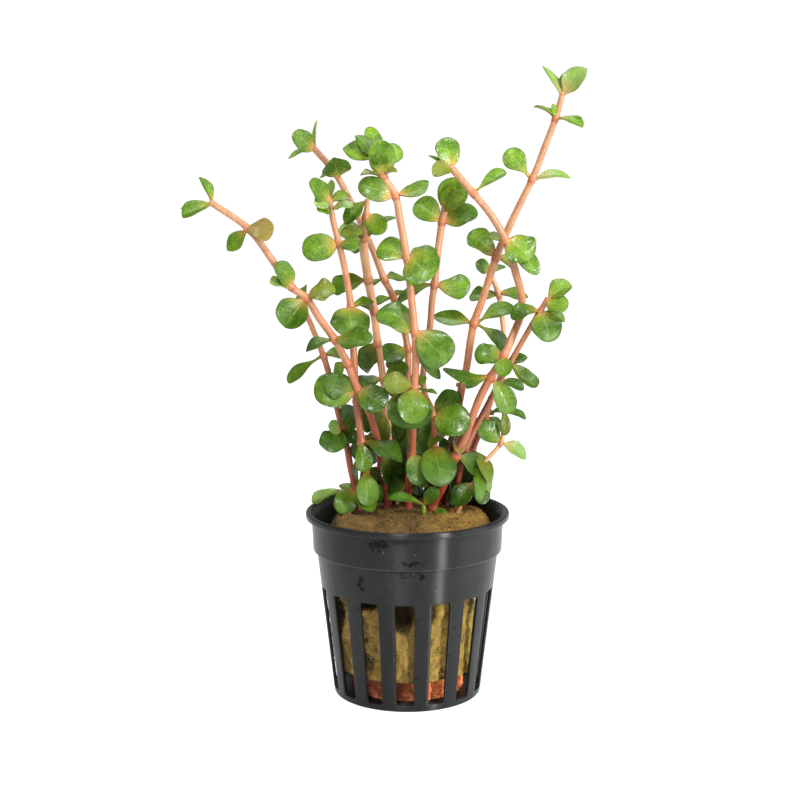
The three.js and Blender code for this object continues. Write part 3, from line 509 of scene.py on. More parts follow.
def leaf_material():
    """A moist leaf: green above, paler below, tan at its foot, faintly veined; painted light and shade:
    paler high up, darker low down, a dark rim.
    """
    s = Shader(bpy.data.materials.new("leaf"))
    along, across, upper = s.painted("place")
    seed, tone, wet = s.painted("tint")
    height = s.parts(s.where)[2]
    off_axis = s.math("ABSOLUTE", across)
    shift = s.node("CombineXYZ", {0: seed})[0]
    shifted = s.node("VectorMath", {0: s.where, 1: shift})[0]
    mottle = s.noise(3.2, 3, 0.55, 0.4, shifted)
    fine = s.noise(0.6, 2, 0.5, 0, shifted)

    top = s.between(mottle, 0.36, 0.64, (50, 92, 9), (74, 118, 16))
    lighter = s.mix(s.band(tone, 0, 1, 0, 0.5), top, linear(104, 144, 26))
    # Dark tones darken the leaf; on the dark leaves low among the stems this is painted shade.
    top = s.mix(s.band(tone, -1, 0, 0.6, 0), lighter, linear(26, 62, 10))
    below = s.between(mottle, 0.3, 0.7, (82, 112, 42), (112, 138, 58))
    s.colour = s.mix(upper, below, top)
    rib = s.band(off_axis, 0.01, 0.07, 1, 0)
    slant = s.minus(along, s.times(off_axis, VEIN_SLANT))
    wave = s.math("PINGPONG", s.times(slant, SIDE_VEINS), 0.5)
    side_veins = s.times(s.band(wave, 0, 0.09, 1, 0), s.band(off_axis, 0.75, 0.95, 1, 0))
    faded = s.band(along, 0.35, 0.95, 1, 0.15)
    veins = s.times(s.math("MAXIMUM", s.times(rib, 0.6), s.times(side_veins, 0.3)), faded)
    s.paint(s.times(veins, 0.5), 138, 160, 74)

    foot = s.plus(along, s.times(s.minus(mottle, 0.5), 0.35))
    s.paint(s.band(foot, 0.1, 0.5, 0.5, 0), 130, 136, 44)
    s.paint(s.band(foot, 0.0, 0.2, 0.7, 0), 168, 112, 66)
    s.paint(s.band(off_axis, 0.4, 0.95, 0, 0.35), 40, 76, 12)
    # Painted shade: a thin dark line along the leaf's edge and round its tip.
    outline = s.math("MAXIMUM", s.band(off_axis, 0.88, 0.98), s.band(along, 0.93, 0.99))
    s.paint(s.times(outline, 0.5), 50, 66, 18)
    streaky = s.noise(1.1, 3, 0.6, 1.5, shifted)
    s.paint(s.band(streaky, 0.52, 0.66, 0, 0.32), 34, 68, 8)
    s.paint(s.band(streaky, 0.36, 0.48, 0.2, 0), 118, 150, 36)
    s.paint(s.band(fine, 0.62, 0.75, 0, 0.2), 40, 60, 14)
    # Painted light and shade: darker low among the stems, much lighter high up where more light falls.
    s.shade(s.mix(s.band(height, 0.062, 0.152), (0.86, 0.78, 0.58, 1), (2.05, 1.46, 2.1, 1)))
    grey = s.times(s.band(tone, 0.9, 1.15), s.band(tone, 1.25, 1.6, 1, 0))
    s.paint(s.times(grey, 0.65), 120, 148, 80)
    s.paint(s.times(grey, s.band(foot, 0.05, 0.55, 0.6, 0)), 178, 148, 98)
    olive = s.times(s.band(tone, 1.3, 1.65), s.band(mottle, 0.3, 0.6, 0.25, 0.7))
    s.paint(olive, 98, 92, 34)
    s.paint(s.band(tone, 1.8, 2.15, 0, 0.6), 126, 90, 50)

    patches = s.noise(1.3, 1, 0.5, 0.6, shifted)
    drops = s.band(s.noise(0.75, 1, 0.3, 0, shifted), 0.66, 0.72)
    film = s.times(s.band(patches, 0.52, 0.6), s.band(wet, 0.3, 1))
    dry = s.band(patches, 0.36, 0.66, 0.36, 0.54)
    rough = s.plus(s.minus(dry, s.times(wet, 0.1)), s.times(s.minus(1, upper), 0.08))
    grain = s.noise(0.8, 1, 0.5, 0, shifted)
    relief = s.plus(
        s.times(veins, -0.6), s.times(grain, 0.12), s.times(patches, 1.1), s.times(drops, wet, 1.2)
    )
    normal = s.bump(relief, 0.1)
    skin = s.principled(
        Roughness=rough, Normal=normal, Coat_Weight=s.plus(0.05, s.times(film, 0.42)),
        Coat_Roughness=0.1, Specular_IOR_Level=s.plus(0.2, s.times(wet, 0.12)),
    )
    lit_through = s.mix(0.5, s.colour, linear(140, 176, 16))
    glow = s.node("BsdfTranslucent", {"Color": lit_through, "Normal": normal})[0]
    return s.done(s.node("MixShader", {0: 0.3, 1: skin, 2: glow})[0])


def stem_material():
    """A smooth coral stem: tan near its tip, dark red at its foot, ringed brown at its nodes."""
    s = Shader(bpy.data.materials.new("stem"))
    node_near, pale = s.painted("place")[1:]
    height = s.parts(s.where)[2]
    streaks = s.noise(0.9, 2, 0.6, 0, s.stretched(1, 1, 7))
    blotches = s.noise(5, 3, 0.5)
    high = s.between(blotches, 0.35, 0.65, (141, 102, 72), (149, 113, 81))
    middle = s.between(blotches, 0.35, 0.65, (135, 86, 55), (143, 98, 64))
    s.colour = s.mix(s.band(height, 0.085, 0.14), middle, high)
    low = s.between(blotches, 0.35, 0.65, (100, 32, 22), (122, 50, 32))
    s.colour = s.mix(s.band(height, 0.048, 0.093, 1, 0), s.colour, low)
    s.paint(s.band(streaks, 0.42, 0.68, 0, 0.28), 140, 70, 46)
    # Painted light: the sides facing left and right are made lighter and redder, evening out the stem's
    # shading.
    side_facing_painted_light = s.math("ABSOLUTE", s.parts(s.node("NewGeometry")["Normal"])[0])
    s.shade(s.mix(s.band(side_facing_painted_light, 0.3, 1), (1, 1, 1, 1), (1.3, 1.08, 1, 1)))
    # Pale stems are lighter all along; on the fifth stem this is painted light.
    s.paint(s.times(pale, 0.7), 214, 178, 128)
    s.paint(s.band(node_near, 0.12, 0.45, 0, 0.55), 150, 78, 40)
    s.paint(s.band(node_near, 0.5, 0.85, 0, 0.45), 104, 48, 22)
    freckles = s.band(s.noise(0.45, 2, 0.5), 0.68, 0.74)
    s.paint(s.times(freckles, 0.35), 120, 62, 34)
    relief = s.plus(streaks, s.times(s.noise(0.7, 1), 0.5))
    return s.done(s.principled(
        Roughness=s.band(streaks, 0.3, 0.7, 0.36, 0.54), Normal=s.bump(relief, 0.06),
        Subsurface_Weight=0.15, Subsurface_Radius=(0.002, 0.0008, 0.0005),
        Subsurface_Scale=0.5, Coat_Weight=0.16, Coat_Roughness=0.2, Specular_IOR_Level=0.3,
    ))


# Damp marks on the front of the pot: x, height, half width and half height
DAMP_MARKS = [(-7.3, 46.4, 3, 2.2), (1.2, 41.8, 4.2, 0.9), (3.7, 38, 1.1, 1), (-12.2, 35.2, 1.5, 2)]


def pot_material():
    """Dark satin plastic with faint flow lines, damp marks, a few pale specks and a painted highlight
    along its step.
    """
    s = Shader(bpy.data.materials.new("pot_plastic"))
    grain = s.noise(0.22, 3, 0.6)
    flow = s.noise(1.2, 4, 0.6, 0, s.stretched(1, 1, 16))
    clouds = s.noise(9, 4, 0.55)
    smears = s.noise(4.2, 4, 0.6, 0.5, s.stretched(1.6, 1.6, 0.7))
    ragged = s.noise(1.6, 4, 0.6, 1.2, s.stretched(1.5, 1.5, 0.8))
    x, y, z = s.parts(s.where)
    damp = s.times(s.band(smears, 0.6, 0.64), s.band(clouds, 0.54, 0.64, 0, 0.7))
    for mark_x, mark_z, wide, tall in DAMP_MARKS:
        aside = s.math("DIVIDE", s.minus(x, mark_x * MM), wide * MM)
        above = s.math("DIVIDE", s.minus(z, mark_z * MM), tall * MM)
        reach = s.math("SQRT", s.plus(s.math("POWER", aside, 2), s.math("POWER", above, 2)))
        torn = s.plus(reach, s.times(s.minus(ragged, 0.5), 4.5))
        in_front = s.math("LESS_THAN", y, 0)
        mark = s.times(s.band(torn, 0.5, 0.75, 1, 0), s.band(reach, 0.9, 1.4, 1, 0), in_front)
        damp = s.math("MAXIMUM", damp, mark)
    s.colour = s.between(clouds, 0.35, 0.65, (10, 11, 11), (16, 17, 17))
    s.paint(s.band(flow, 0.5, 0.72, 0, 0.3), 24, 25, 25)
    s.paint(s.times(damp, 0.7), 4, 5, 6)
    # Painted highlight: a thin light line along the step's edge, where it catches the light, broken up by
    # noise.
    painted_edge_highlight = s.math("ABSOLUTE", s.minus(z, (STEP_HEIGHT + 0.1) * MM))
    painted_edge_highlight = s.times(s.band(painted_edge_highlight, 0.0001, 0.00028, 1, 0), s.band(ragged, 0.4, 0.62, 0.15, 1))
    s.paint(s.times(painted_edge_highlight, 0.6), 74, 76, 76)
    specks = s.band(s.noise(0.6, 2, 0.4), 0.75, 0.78)
    s.paint(s.times(specks, 0.35), 150, 152, 150)
    rough = s.plus(s.band(flow, 0.3, 0.7, 0.34, 0.4), s.times(damp, -0.1))
    sheen = s.minus(0.24, s.times(damp, 0.17))
    drawn = s.node("Tangent", direction_type="RADIAL", axis="Z")[0]
    relief = s.plus(s.times(grain, 0.06), s.times(flow, 0.25))
    return s.done(s.principled(
        Roughness=rough, Normal=s.bump(relief, 0.05), Specular_IOR_Level=sheen,
        Anisotropic=1.0, Anisotropic_Rotation=0.25, Tangent=drawn,
    ))


def painted_shade_on_the_left(s, start, end, wet, dry):
    """Painted light and shade: multiplies the colour so far by one tint, wet, on the shaded left and
    another, dry, on the lit right.
    """
    x = s.parts(s.where)[0]
    s.shade(s.mix(s.band(x, start, end), (*wet, 1), (*dry, 1)))


def wool_material():
    """Wet mineral wool: golden strands over olive brown, with painted shade: dark brown in its hollows,
    darker on its top and its left.
    """
    s = Shader(bpy.data.materials.new("wool"))
    # depth carries painted shade; damp carries the top's wetness together with painted shade from the
    # leaves.
    depth, strand, damp = s.painted("place")
    patches = s.noise(3, 4, 0.6)
    stains = s.noise(5.5, 3, 0.6, 0.6, s.stretched(1, 1, 1.8))
    fibre = s.noise(0.28, 4, 0.7, 0, s.stretched(3.2, 3.2, 1))
    fine = s.noise(0.12, 4, 0.7)
    s.colour = s.between(patches, 0.34, 0.66, (112, 82, 26), (188, 150, 70))
    s.paint(s.band(fibre, 0.4, 0.7, 0, 0.6), 204, 174, 96)
    s.paint(s.band(fine, 0.3, 0.5, 0.6, 0), 66, 48, 18)
    s.paint(s.band(stains, 0.5, 0.62, 0, 0.5), 70, 50, 16)
    s.paint(s.times(strand, s.band(fibre, 0.2, 0.8, 0.2, 0.85)), 220, 198, 130)
    # Darker on the top: its wetness, with painted shade from the leaves above.
    s.paint(s.times(damp, 0.66), 102, 60, 4)
    # Painted shade: dark brown in the hollows and dips.
    s.paint(s.band(depth, 0.3, 0.75, 0, 0.9), 50, 32, 12)
    # Painted shade on the wool's left, painted light on its right.
    painted_shade_on_the_left(s, 0.001, 0.012, (0.5, 0.5, 0.36), (0.92, 0.96, 0.7))
    relief = s.bump(s.plus(fibre, s.times(fine, 0.6)), 0.4)
    rough = s.band(fine, 0.3, 0.7, 0.45, 0.8)
    return s.done(s.principled(Roughness=rough, Normal=relief, Specular_IOR_Level=0.35))


def clay_material():
    """Rough orange clay with pale grains; painted shade darkens its pits and its left side."""
    s = Shader(bpy.data.materials.new("clay"))
    cells = {"Vector": s.where, "Scale": 1 / (0.8 * MM), "Randomness": 1}
    grains = s.node("TexVoronoi", cells)["Distance"]
    fine = s.noise(0.3, 5, 0.65)
    pits = s.noise(0.75, 3, 0.6)
    patches = s.noise(2.4, 3, 0.5)
    s.colour = s.between(patches, 0.35, 0.65, (228, 106, 50), (250, 150, 80))
    s.paint(s.band(fine, 0.55, 0.72, 0, 0.65), 240, 176, 124)
    s.paint(s.band(fine, 0.3, 0.46, 0.8, 0), 96, 40, 18)
    # Painted shade: dark in the pits.
    s.paint(s.band(pits, 0.3, 0.42, 0.9, 0), 44, 20, 10)
    # Painted shade on the clay's left.
    painted_shade_on_the_left(s, -0.004, 0.008, (0.26, 0.2, 0.2), (1, 1, 1))
    relief = s.bump(s.plus(fine, s.times(grains, 0.7), s.band(pits, 0.3, 0.42)), 0.4)
    return s.done(s.principled(Roughness=s.band(fine, 0.3, 0.7, 0.6, 0.9), Normal=relief))


LEAF = leaf_material()
STEM = stem_material()
PLASTIC = pot_material()
WOOL = wool_material()
CLAY = clay_material()


def smooth_route(points, finer):
    """A smooth curve through the points, even where they are unevenly spaced."""
    knots = [2 * points[0] - points[1], *points, 2 * points[-1] - points[-2]]
    made = []
    for before, start, end, after in zip(knots, knots[1:], knots[2:], knots[3:]):
        steps = [max((b - a).length, 1e-6) ** 0.5
                 for a, b in ((before, start), (start, end), (end, after))]
        leave = (start - before) / steps[0] - (end - before) / (steps[0] + steps[1])
        leave = (leave + (end - start) / steps[1]) * steps[1]
        arrive = (end - start) / steps[1] - (after - start) / (steps[1] + steps[2])
        arrive = (arrive + (after - end) / steps[2]) * steps[1]
        for k in range(finer):
            t = k / finer
            made.append(
                (2 * t ** 3 - 3 * t ** 2 + 1) * start + (t ** 3 - 2 * t ** 2 + t) * leave
                + (3 * t ** 2 - 2 * t ** 3) * end + (t ** 3 - t ** 2) * arrive
            )
    return made + [points[-1]]


def directions(points):
    """For each point of a curve: its direction, and two directions square to it that don't turn."""
    made = []
    across = Vector((1, 0, 0))
    for i in range(len(points)):
        along = (points[min(i + 1, len(points) - 1)] - points[max(i - 1, 0)]).normalized()
        across = (across - along * across.dot(along)).normalized()
        made.append((along, across, along.cross(across)))
    return made


def tube(skin, points, radii, sides, where=None, tint=(0, 0, 0)):
    """A round closed skin along a curve."""
    rings = []
    for point, radius, (_, across, over) in zip(points, radii, directions(points)):
        rings.append([
            point + across * radius * math.cos(2 * math.pi * k / sides)
            + over * radius * math.sin(2 * math.pi * k / sides)
            for k in range(sides)
        ])
    skin.loft(rings, where, tint)


class Stem:
    """A stem's smooth middle line and its thickness, and where its nodes are on it."""

    def __init__(self, row):
        self.row = row
        route = [place(reading) for reading in row["route"]]
        root = Vector((route[0].x * ROOT_DRAWN_IN, route[0].y * ROOT_DRAWN_IN, STEM_ROOT))
        self.points = smooth_route([root, *route], STEM_STEPS)
        self.frames = directions(self.points)
        last = len(self.points) - 1
        foot, tip = row["thick"]
        self.radii = [(foot + (tip - foot) * (i / last) ** STEM_TAPER) / 2 for i in range(last + 1)]
        if "neck" in row:
            start = (row["neck"] + 1) * STEM_STEPS
            for i in range(start, last + 1):
                self.radii[i] *= 1 - NECK_LOSS * min(1, (i - start) / (STEM_STEPS * NECK_LENGTH))
        self.travel = [0.0]
        for a, b in zip(self.points, self.points[1:]):
            self.travel.append(self.travel[-1] + (b - a).length)

    def at(self, index):
        """The point, direction and radius at a point of the route, counted from its foot."""
        i = round((index + 1) * STEM_STEPS)
        return self.points[i], self.frames[i][0], self.radii[i]

    def node_places(self):
        """How far up the stem its nodes are: at its pairs, and at lone leaves on whole points."""
        marked = {at for at, *_ in self.row["pairs"]}
        marked |= {at for at, _ in self.row.get("lone", []) if at % 1 == 0}
        return [self.travel[(at + 1) * STEM_STEPS] for at in sorted(marked)]


# The rounded end of a stem: how far past its last point, as a share of its radius, and how much
# of a round end's radius is left there
STEM_END = [(0.35, 1), (0.6, 1), (0.75, 0.6)]


def stem_skin(stem, number):
    """The stem's tube, swollen at its nodes, each with a thin scar below its leaves."""
    skin = Skin()
    nodes = stem.node_places()
    radii, where = [], []
    for radius, travel in zip(stem.radii, stem.travel):
        swelling = sum(math.exp(-((travel - n) / NODE_REACH) ** 2) for n in nodes)
        scar = sum(math.exp(-((travel - n + NODE_REACH) / SCAR_REACH) ** 2) for n in nodes)
        wander = STEM_WANDER * noise.noise(Vector((travel / 6, number * 3.7, 0)))
        fullness = STEM_FULLNESS + wander + NODE_SWELLING * swelling
        radii.append(radius * fullness + SCAR_RISE * scar)
        near = min(1, 0.45 * swelling + scar)
        where.append([(0, near, stem.row.get("pale", 0))] * STEM_SIDES)
    points = list(stem.points)
    along = stem.frames[-1][0]
    for share, left in STEM_END:
        points.append(stem.points[-1] + along * share * stem.radii[-1])
        radii.append(stem.radii[-1] * math.sqrt(1 - share ** 2) * left)
        where.append(where[-1])
    tube(skin, points, radii, STEM_SIDES, where)
    return skin


# The usual leaf, the least and the greatest factor of its wedge, and how far its other measures
# may differ, down and up
LEAF_FORM = dict(
    wedge=0.85, widest=0.6, cup=0.12, fold=0.06, curl=0.03, twist=0.0, wave=0.08, tone=0.0, wet=0.4,
    bend=0.0, point=0.0,
)
WEDGE_SPREAD = (0.85, 1.2)
LEAF_SPREAD = dict(
    widest=(-0.05, 0.04), cup=(-0.2, 0.16), fold=(-0.04, 0.12), curl=(-0.05, 0.09),
    twist=(-0.25, 0.25), wave=(-0.03, 0.07), tone=(-0.8, 0.3), wet=(-0.3, 0.5),
)

# How named leaves differ from the usual leaf
FORMS = dict(
    round=dict(wedge=0.62, widest=0.55, cup=0.05, fold=0.03),
    disc=dict(wedge=0.5, widest=0.5, cup=0.04, fold=0.0, wave=0.02, curl=0.0, twist=0.0),
    spoon=dict(wedge=1.7, widest=0.7),
    lance=dict(wedge=1.0, widest=0.5, point=0.75),
    folded=dict(fold=0.5, cup=0.1),
    wavy=dict(wave=0.2, twist=0.25),
    sagging=dict(bend=-0.8),
    humped=dict(bend=0.5),
    # Dark and night leaves are darker green; those low among the stems stand in for the shade there, as
    # painted shade.
    dark=dict(tone=-1.0),
    dim=dict(tone=-0.6, wet=0.1),
    night=dict(tone=-1.0, wet=0.0),
    light=dict(tone=0.6),
    pale=dict(tone=1.2),
    olive=dict(tone=1.6),
    brown=dict(tone=2.2),
    glossy=dict(wet=1.0),
    matt=dict(wet=0.0),
)


def varied(rng):
    """A leaf's form with the small differences that every leaf has."""
    form = dict(LEAF_FORM)
    form["wedge"] *= rng.uniform(*WEDGE_SPREAD)
    for measure, spread in LEAF_SPREAD.items():
        form[measure] += rng.uniform(*spread)
    return form


def fullness(along, form):
    """A leaf's half width along its length, as a share of its greatest."""
    widest = form["widest"]
    swell = np.sin(np.pi / 2 * np.clip(along / widest, 0, 1) ** form["wedge"])
    close = np.sqrt(np.clip(1 - np.clip((along - widest) / (1 - widest), 0, 1) ** 2.3, 0, 1))
    return np.where(along < widest, swell, close ** (1 + form["point"]))


def leaf(skin, joint, foot_share, row, rng):
    """One leaf from its joint on the stem to its tip: a thin closed skin, ribbed and cupped."""
    node, along_stem, stem_radius = joint
    numbers = [value for value in row if not isinstance(value, str)]
    x, z, away, width, turn, arch = [*numbers, USUAL_ARCH][:6]
    form = varied(rng)
    for named in row[len(numbers):]:
        form.update(FORMS[named])
    tip = place((x, z, node.y + away))
    reach = tip - node
    aside = (reach - along_stem * reach.dot(along_stem)).normalized()
    foot = node + aside * (stem_radius * foot_share)
    length = (tip - foot).length
    axis = (tip - foot).normalized()
    to_eye = EYE - foot
    to_eye = (to_eye - axis * to_eye.dot(axis)).normalized()
    hand = 1 if tip.x >= node.x else -1
    upwards = to_eye.cross(axis) * hand
    angle = math.radians(turn)
    face = np.array(to_eye * math.cos(angle) + upwards * math.sin(angle))
    axis = np.array(axis)
    side = np.cross(face, axis)

    along = np.sin(np.linspace(0, np.pi / 2, LEAF_RINGS))[:, None]
    across = np.cos(np.linspace(0, np.pi, LEAF_ACROSS + 1))[None, :]
    half = np.maximum(fullness(along, form) * width / 2, 0.02)
    half = np.maximum(half, PETIOLE_WIDTH / 2 * np.exp(-(along / 0.3) ** 2))
    uneven = 0.05 * np.sin(along * 7 + form["tone"] * 5 + 2.6 * np.sign(across)) * along
    half = half * (1 + uneven * np.abs(across))
    twist = form["twist"] * along
    faces = face * np.cos(twist)[..., None] + side * np.sin(twist)[..., None]
    sides = side * np.cos(twist)[..., None] - face * np.sin(twist)[..., None]
    phase = rng.uniform(0, 6.28)
    ripple = np.sin(along * 9 + phase + np.sign(across) * 1.3) * np.abs(across) ** 3
    rise = half * (form["cup"] * across ** 2 + form["fold"] * np.abs(across) ** 1.3)
    rise = rise + half * form["wave"] * ripple
    lift = arch * length * 4 * along * (1 - along) - form["curl"] * length * along ** 4
    lateral = form["bend"] * length * along * (1 - along) * hand
    middle = (
        np.array(foot) + axis * (length * along)[..., None] + faces * (rise + lift)[..., None]
        + sides * (half * across + lateral)[..., None]
    )
    normal = np.cross(np.gradient(middle, axis=0), np.gradient(middle, axis=1))
    normal /= np.maximum(np.linalg.norm(normal, axis=2, keepdims=True), 1e-9)
    normal *= np.sign(np.sum(normal * face, axis=2, keepdims=True) + 1e-9)
    body = LEAF_THICKNESS / 2 * (1 + 1.3 * np.exp(-along / 0.1)) * np.sqrt(1 - along ** 10)
    body = body * np.sqrt(np.clip(1 - np.abs(across) ** 5, 0, 1))
    veins = np.cos(2 * np.pi * (along - VEIN_SLANT * np.abs(across)) * SIDE_VEINS) * (1 - across ** 4)
    veins = veins * np.clip(along * 3 - 0.4, 0, 1) * (1 - along ** 6)
    rib = np.exp(-(half * across / 0.32) ** 2) * (1 - along ** 3)
    over_skin = body - 0.03 * veins - 0.1 * rib * np.clip(along * 4, 0, 1)
    under_skin = body - 0.02 * veins + 0.14 * rib
    upper = middle + normal * over_skin[..., None]
    lower = middle - normal * under_skin[..., None]
    rings = np.concatenate([upper, lower[:, -2:0:-1]], axis=1)
    top = np.stack(np.broadcast_arrays(along, across, 1.0), axis=2)
    where = np.concatenate([top, (top * (1, 1, 0))[:, -2:0:-1]], axis=1)
    skin.loft(rings, where, (rng.random(), form["tone"], max(0, form["wet"])))


def lathe_point(radius, degrees, height):
    """A point on the pot, its angle counted from the front towards the right."""
    angle = math.radians(degrees)
    return Vector((radius * math.sin(angle), -radius * math.cos(angle), height))


def wall_outside(height):
    """The radius of the wall's outside at a height."""
    return BASE_RADIUS + (WALL_RADIUS_TOP - BASE_RADIUS) * height / STEP_HEIGHT


# The slotted wall is made a cell at a time, each with one slot. Each band of a cell runs round
# the slot, from the wall's outside to its inside: how far it is from the slot's edge to the
# cell's edge, and how far out it is from the wall's inside, as shares.
CELL_BOTTOM = 1.2
CELL_TOP = 31.6
CORNER_RADIUS = 0.55
CELL_WIDE_STEPS = 12
CELL_TALL_STEPS = 34
WALL_BANDS = [
    (1, 1), (0.45, 1), (0.12, 1), (0.05, 0.97), (0.015, 0.9), (0, 0.78),
    (0, 0.22), (0.015, 0.1), (0.05, 0.03), (0.12, 0), (0.45, 0), (1, 0),
]


def eased(count):
    """Shares from 0 towards 1, close together at both ends."""
    return [(1 - math.cos(math.pi * k / count)) / 2 for k in range(count)]


def box_loop(low, high, bottom, top, radius):
    """Points round an upright box in degrees and millimetres, close together at its corners,
    which are rounded where a radius is given. Degrees are turned to millimetres for the corners."""
    to_mm = math.radians(1) * wall_outside((SLOT_BOTTOM + SLOT_TOP) / 2)
    corners = [(low, bottom), (high, bottom), (high, top), (low, top)]
    made = []
    for i, (start, end) in enumerate(zip(corners, corners[1:] + corners[:1])):
        for share in eased(CELL_TALL_STEPS if i % 2 else CELL_WIDE_STEPS):
            a = start[0] + (end[0] - start[0]) * share
            z = start[1] + (end[1] - start[1]) * share
            for corner_a, corner_z in corners:
                middle_a = corner_a + math.copysign(radius / to_mm, (low + high) / 2 - corner_a)
                middle_z = corner_z + math.copysign(radius, (bottom + top) / 2 - corner_z)
                out_a = (a - middle_a) * to_mm * math.copysign(1, corner_a - middle_a)
                out_z = (z - middle_z) * math.copysign(1, corner_z - middle_z)
                if radius and out_a >= 0 and out_z >= 0:
                    reach = max(math.hypot(out_a, out_z), 1e-6)
                    a = middle_a + (a - middle_a) * radius / reach
                    z = middle_z + (z - middle_z) * radius / reach
                    break
            made.append((a, z))
    return made


def slotted_wall(skin):
    """The pot's wall between its floor and its top band, a cell for each slot."""
    cell = 360 / SLOTS
    half = SLOT_WIDTH_DEGREES / 2
    for i in range(SLOTS):
        middle = FRONT_SLOT_DEGREES + cell * i
        edge = box_loop(middle - cell / 2, middle + cell / 2, CELL_BOTTOM, CELL_TOP, 0)
        hole = box_loop(middle - half, middle + half, SLOT_BOTTOM, SLOT_TOP, CORNER_RADIUS)
        points = []
        for outwards, depth in WALL_BANDS:
            for (edge_a, edge_z), (hole_a, hole_z) in zip(edge, hole):
                a = hole_a + (edge_a - hole_a) * outwards
                z = hole_z + (edge_z - hole_z) * outwards
                points.append(lathe_point(wall_outside(z) - WALL * (1 - depth), a, z))
        skin.add(points, strips(len(WALL_BANDS), len(edge)))


# The turned bands: plain rings between their corners, how far the collar's ring stands out, the
# smallest radius, the edge of the foot, and the steps of a rounded corner
WALL_RING = 35.5
COLLAR_RING = 44
COLLAR_SWELL = 0.2
FLOOR_RING = 15
FLOOR_CENTRE = 0.01
FOOT_RADIUS = BASE_RADIUS - 0.05
ROUNDING_STEPS = 5


def rounded(corners):
    """A profile with each corner that has a radius turned into an arc of a few points."""
    made = []
    for i, (x, z, radius) in enumerate(corners):
        if not radius:
            made.append((x, z))
            continue
        here = Vector((x, z))
        before = (Vector(corners[i - 1][:2]) - here).normalized() * radius
        after = (Vector(corners[i + 1][:2]) - here).normalized() * radius
        for k in range(ROUNDING_STEPS + 1):
            t = k / ROUNDING_STEPS
            point = here + before * (1 - t) ** 2 + after * t ** 2
            made.append((point.x, point.y))
    return made


def turned_bands(skin):
    """The pot's unslotted bands: its collar and rim, and its floor."""
    inner_lip = RIM_RADIUS - RIM_WIDTH
    collar_foot = POT_HEIGHT - RIM_DEPTH
    top = rounded([
        (wall_outside(CELL_TOP), CELL_TOP, 0),
        (wall_outside(WALL_RING), WALL_RING, 0),
        (WALL_RADIUS_TOP, STEP_HEIGHT, 0.3),
        (COLLAR_RADIUS_BOTTOM, STEP_HEIGHT, 0.32),
        (COLLAR_RADIUS_BOTTOM + COLLAR_SWELL, COLLAR_RING, 0),
        (COLLAR_RADIUS_TOP, collar_foot, 0.35),
        (RIM_RADIUS, collar_foot, 0.45),
        (RIM_RADIUS, POT_HEIGHT, 0.6),
        (inner_lip, POT_HEIGHT, 0.5),
        (COLLAR_RADIUS_TOP - WALL, collar_foot, 0.5),
        (COLLAR_RADIUS_BOTTOM - WALL, STEP_HEIGHT + WALL, 0.4),
        (WALL_RADIUS_TOP - WALL, STEP_HEIGHT - WALL / 2, 0.4),
        (wall_outside(CELL_TOP) - WALL, CELL_TOP, 0),
    ])
    floor = rounded([
        (wall_outside(CELL_BOTTOM) - WALL, CELL_BOTTOM, 0),
        (FLOOR_RING, FLOOR, 0),
        (FLOOR_CENTRE, FLOOR, 0),
        (FLOOR_CENTRE, 0, 0),
        (FLOOR_RING, 0, 0),
        (FOOT_RADIUS, 0, 0.5),
        (wall_outside(CELL_BOTTOM), CELL_BOTTOM, 0),
    ])
    cell = 360 / SLOTS
    columns = [
        FRONT_SLOT_DEGREES + cell * (i - 0.5) + cell * share
        for i in range(SLOTS) for share in eased(CELL_WIDE_STEPS)
    ]
    for profile in (top, floor):
        points = [lathe_point(radius, a, z) for radius, z in profile for a in columns]
        skin.add(points, strips(len(profile), len(columns)))


def drain_cutter():
    """The flat slots in the pot's floor, as one cutting shape."""
    skin = Skin()
    for i in range(DRAIN_SLOTS):
        turn = 2 * math.pi * i / DRAIN_SLOTS
        out = Vector((math.cos(turn), math.sin(turn), 0))
        beside = Vector((-math.sin(turn), math.cos(turn), 0))
        outline = []
        for end, start in ((DRAIN_END, -90), (DRAIN_START, 90)):
            centre = end - math.copysign(DRAIN_WIDTH / 2, end - DRAIN_START - 1)
            for k in range(DRAIN_END_STEPS + 1):
                angle = math.radians(start + 180 * k / DRAIN_END_STEPS)
                outline.append(
                    out * (centre + DRAIN_WIDTH / 2 * math.cos(angle))
                    + beside * DRAIN_WIDTH / 2 * math.sin(angle)
                )
        skin.loft([[p + Vector((0, 0, z)) for p in outline] for z in (-2, 2 * FLOOR)])
    return skin


def apply_modifiers(piece):
    """The piece's mesh as its modifiers leave it."""
    graph = bpy.context.evaluated_depsgraph_get()
    made = bpy.data.meshes.new_from_object(piece.evaluated_get(graph))
    piece.modifiers.clear()
    piece.data = made


def tidy_mesh(piece):
    """Joins the points that lie together, and points every face outwards."""
    work = bmesh.new()
    work.from_mesh(piece.data)
    bmesh.ops.remove_doubles(work, verts=work.verts, dist=SAME_POINT * MM)
    bmesh.ops.recalc_face_normals(work, faces=work.faces)
    work.to_mesh(piece.data)
    work.free()


def make_pot():
    """The net pot, with its floor cut through."""
    skin = Skin()
    slotted_wall(skin)
    turned_bands(skin)
    pot = skin.piece("net_pot", PLASTIC, "pot_plastic", ["pot"])
    tidy_mesh(pot)
    cutter = drain_cutter().piece("drain_cutter", PLASTIC, "pot_plastic")
    cut = pot.modifiers.new("drains", "BOOLEAN")
    cut.operation = "DIFFERENCE"
    cut.solver = "EXACT"
    cut.object = cutter
    apply_modifiers(pot)
    bpy.data.objects.remove(cutter)
    pot.data.set_sharp_from_angle(angle=math.radians(SHARP_DEGREES))


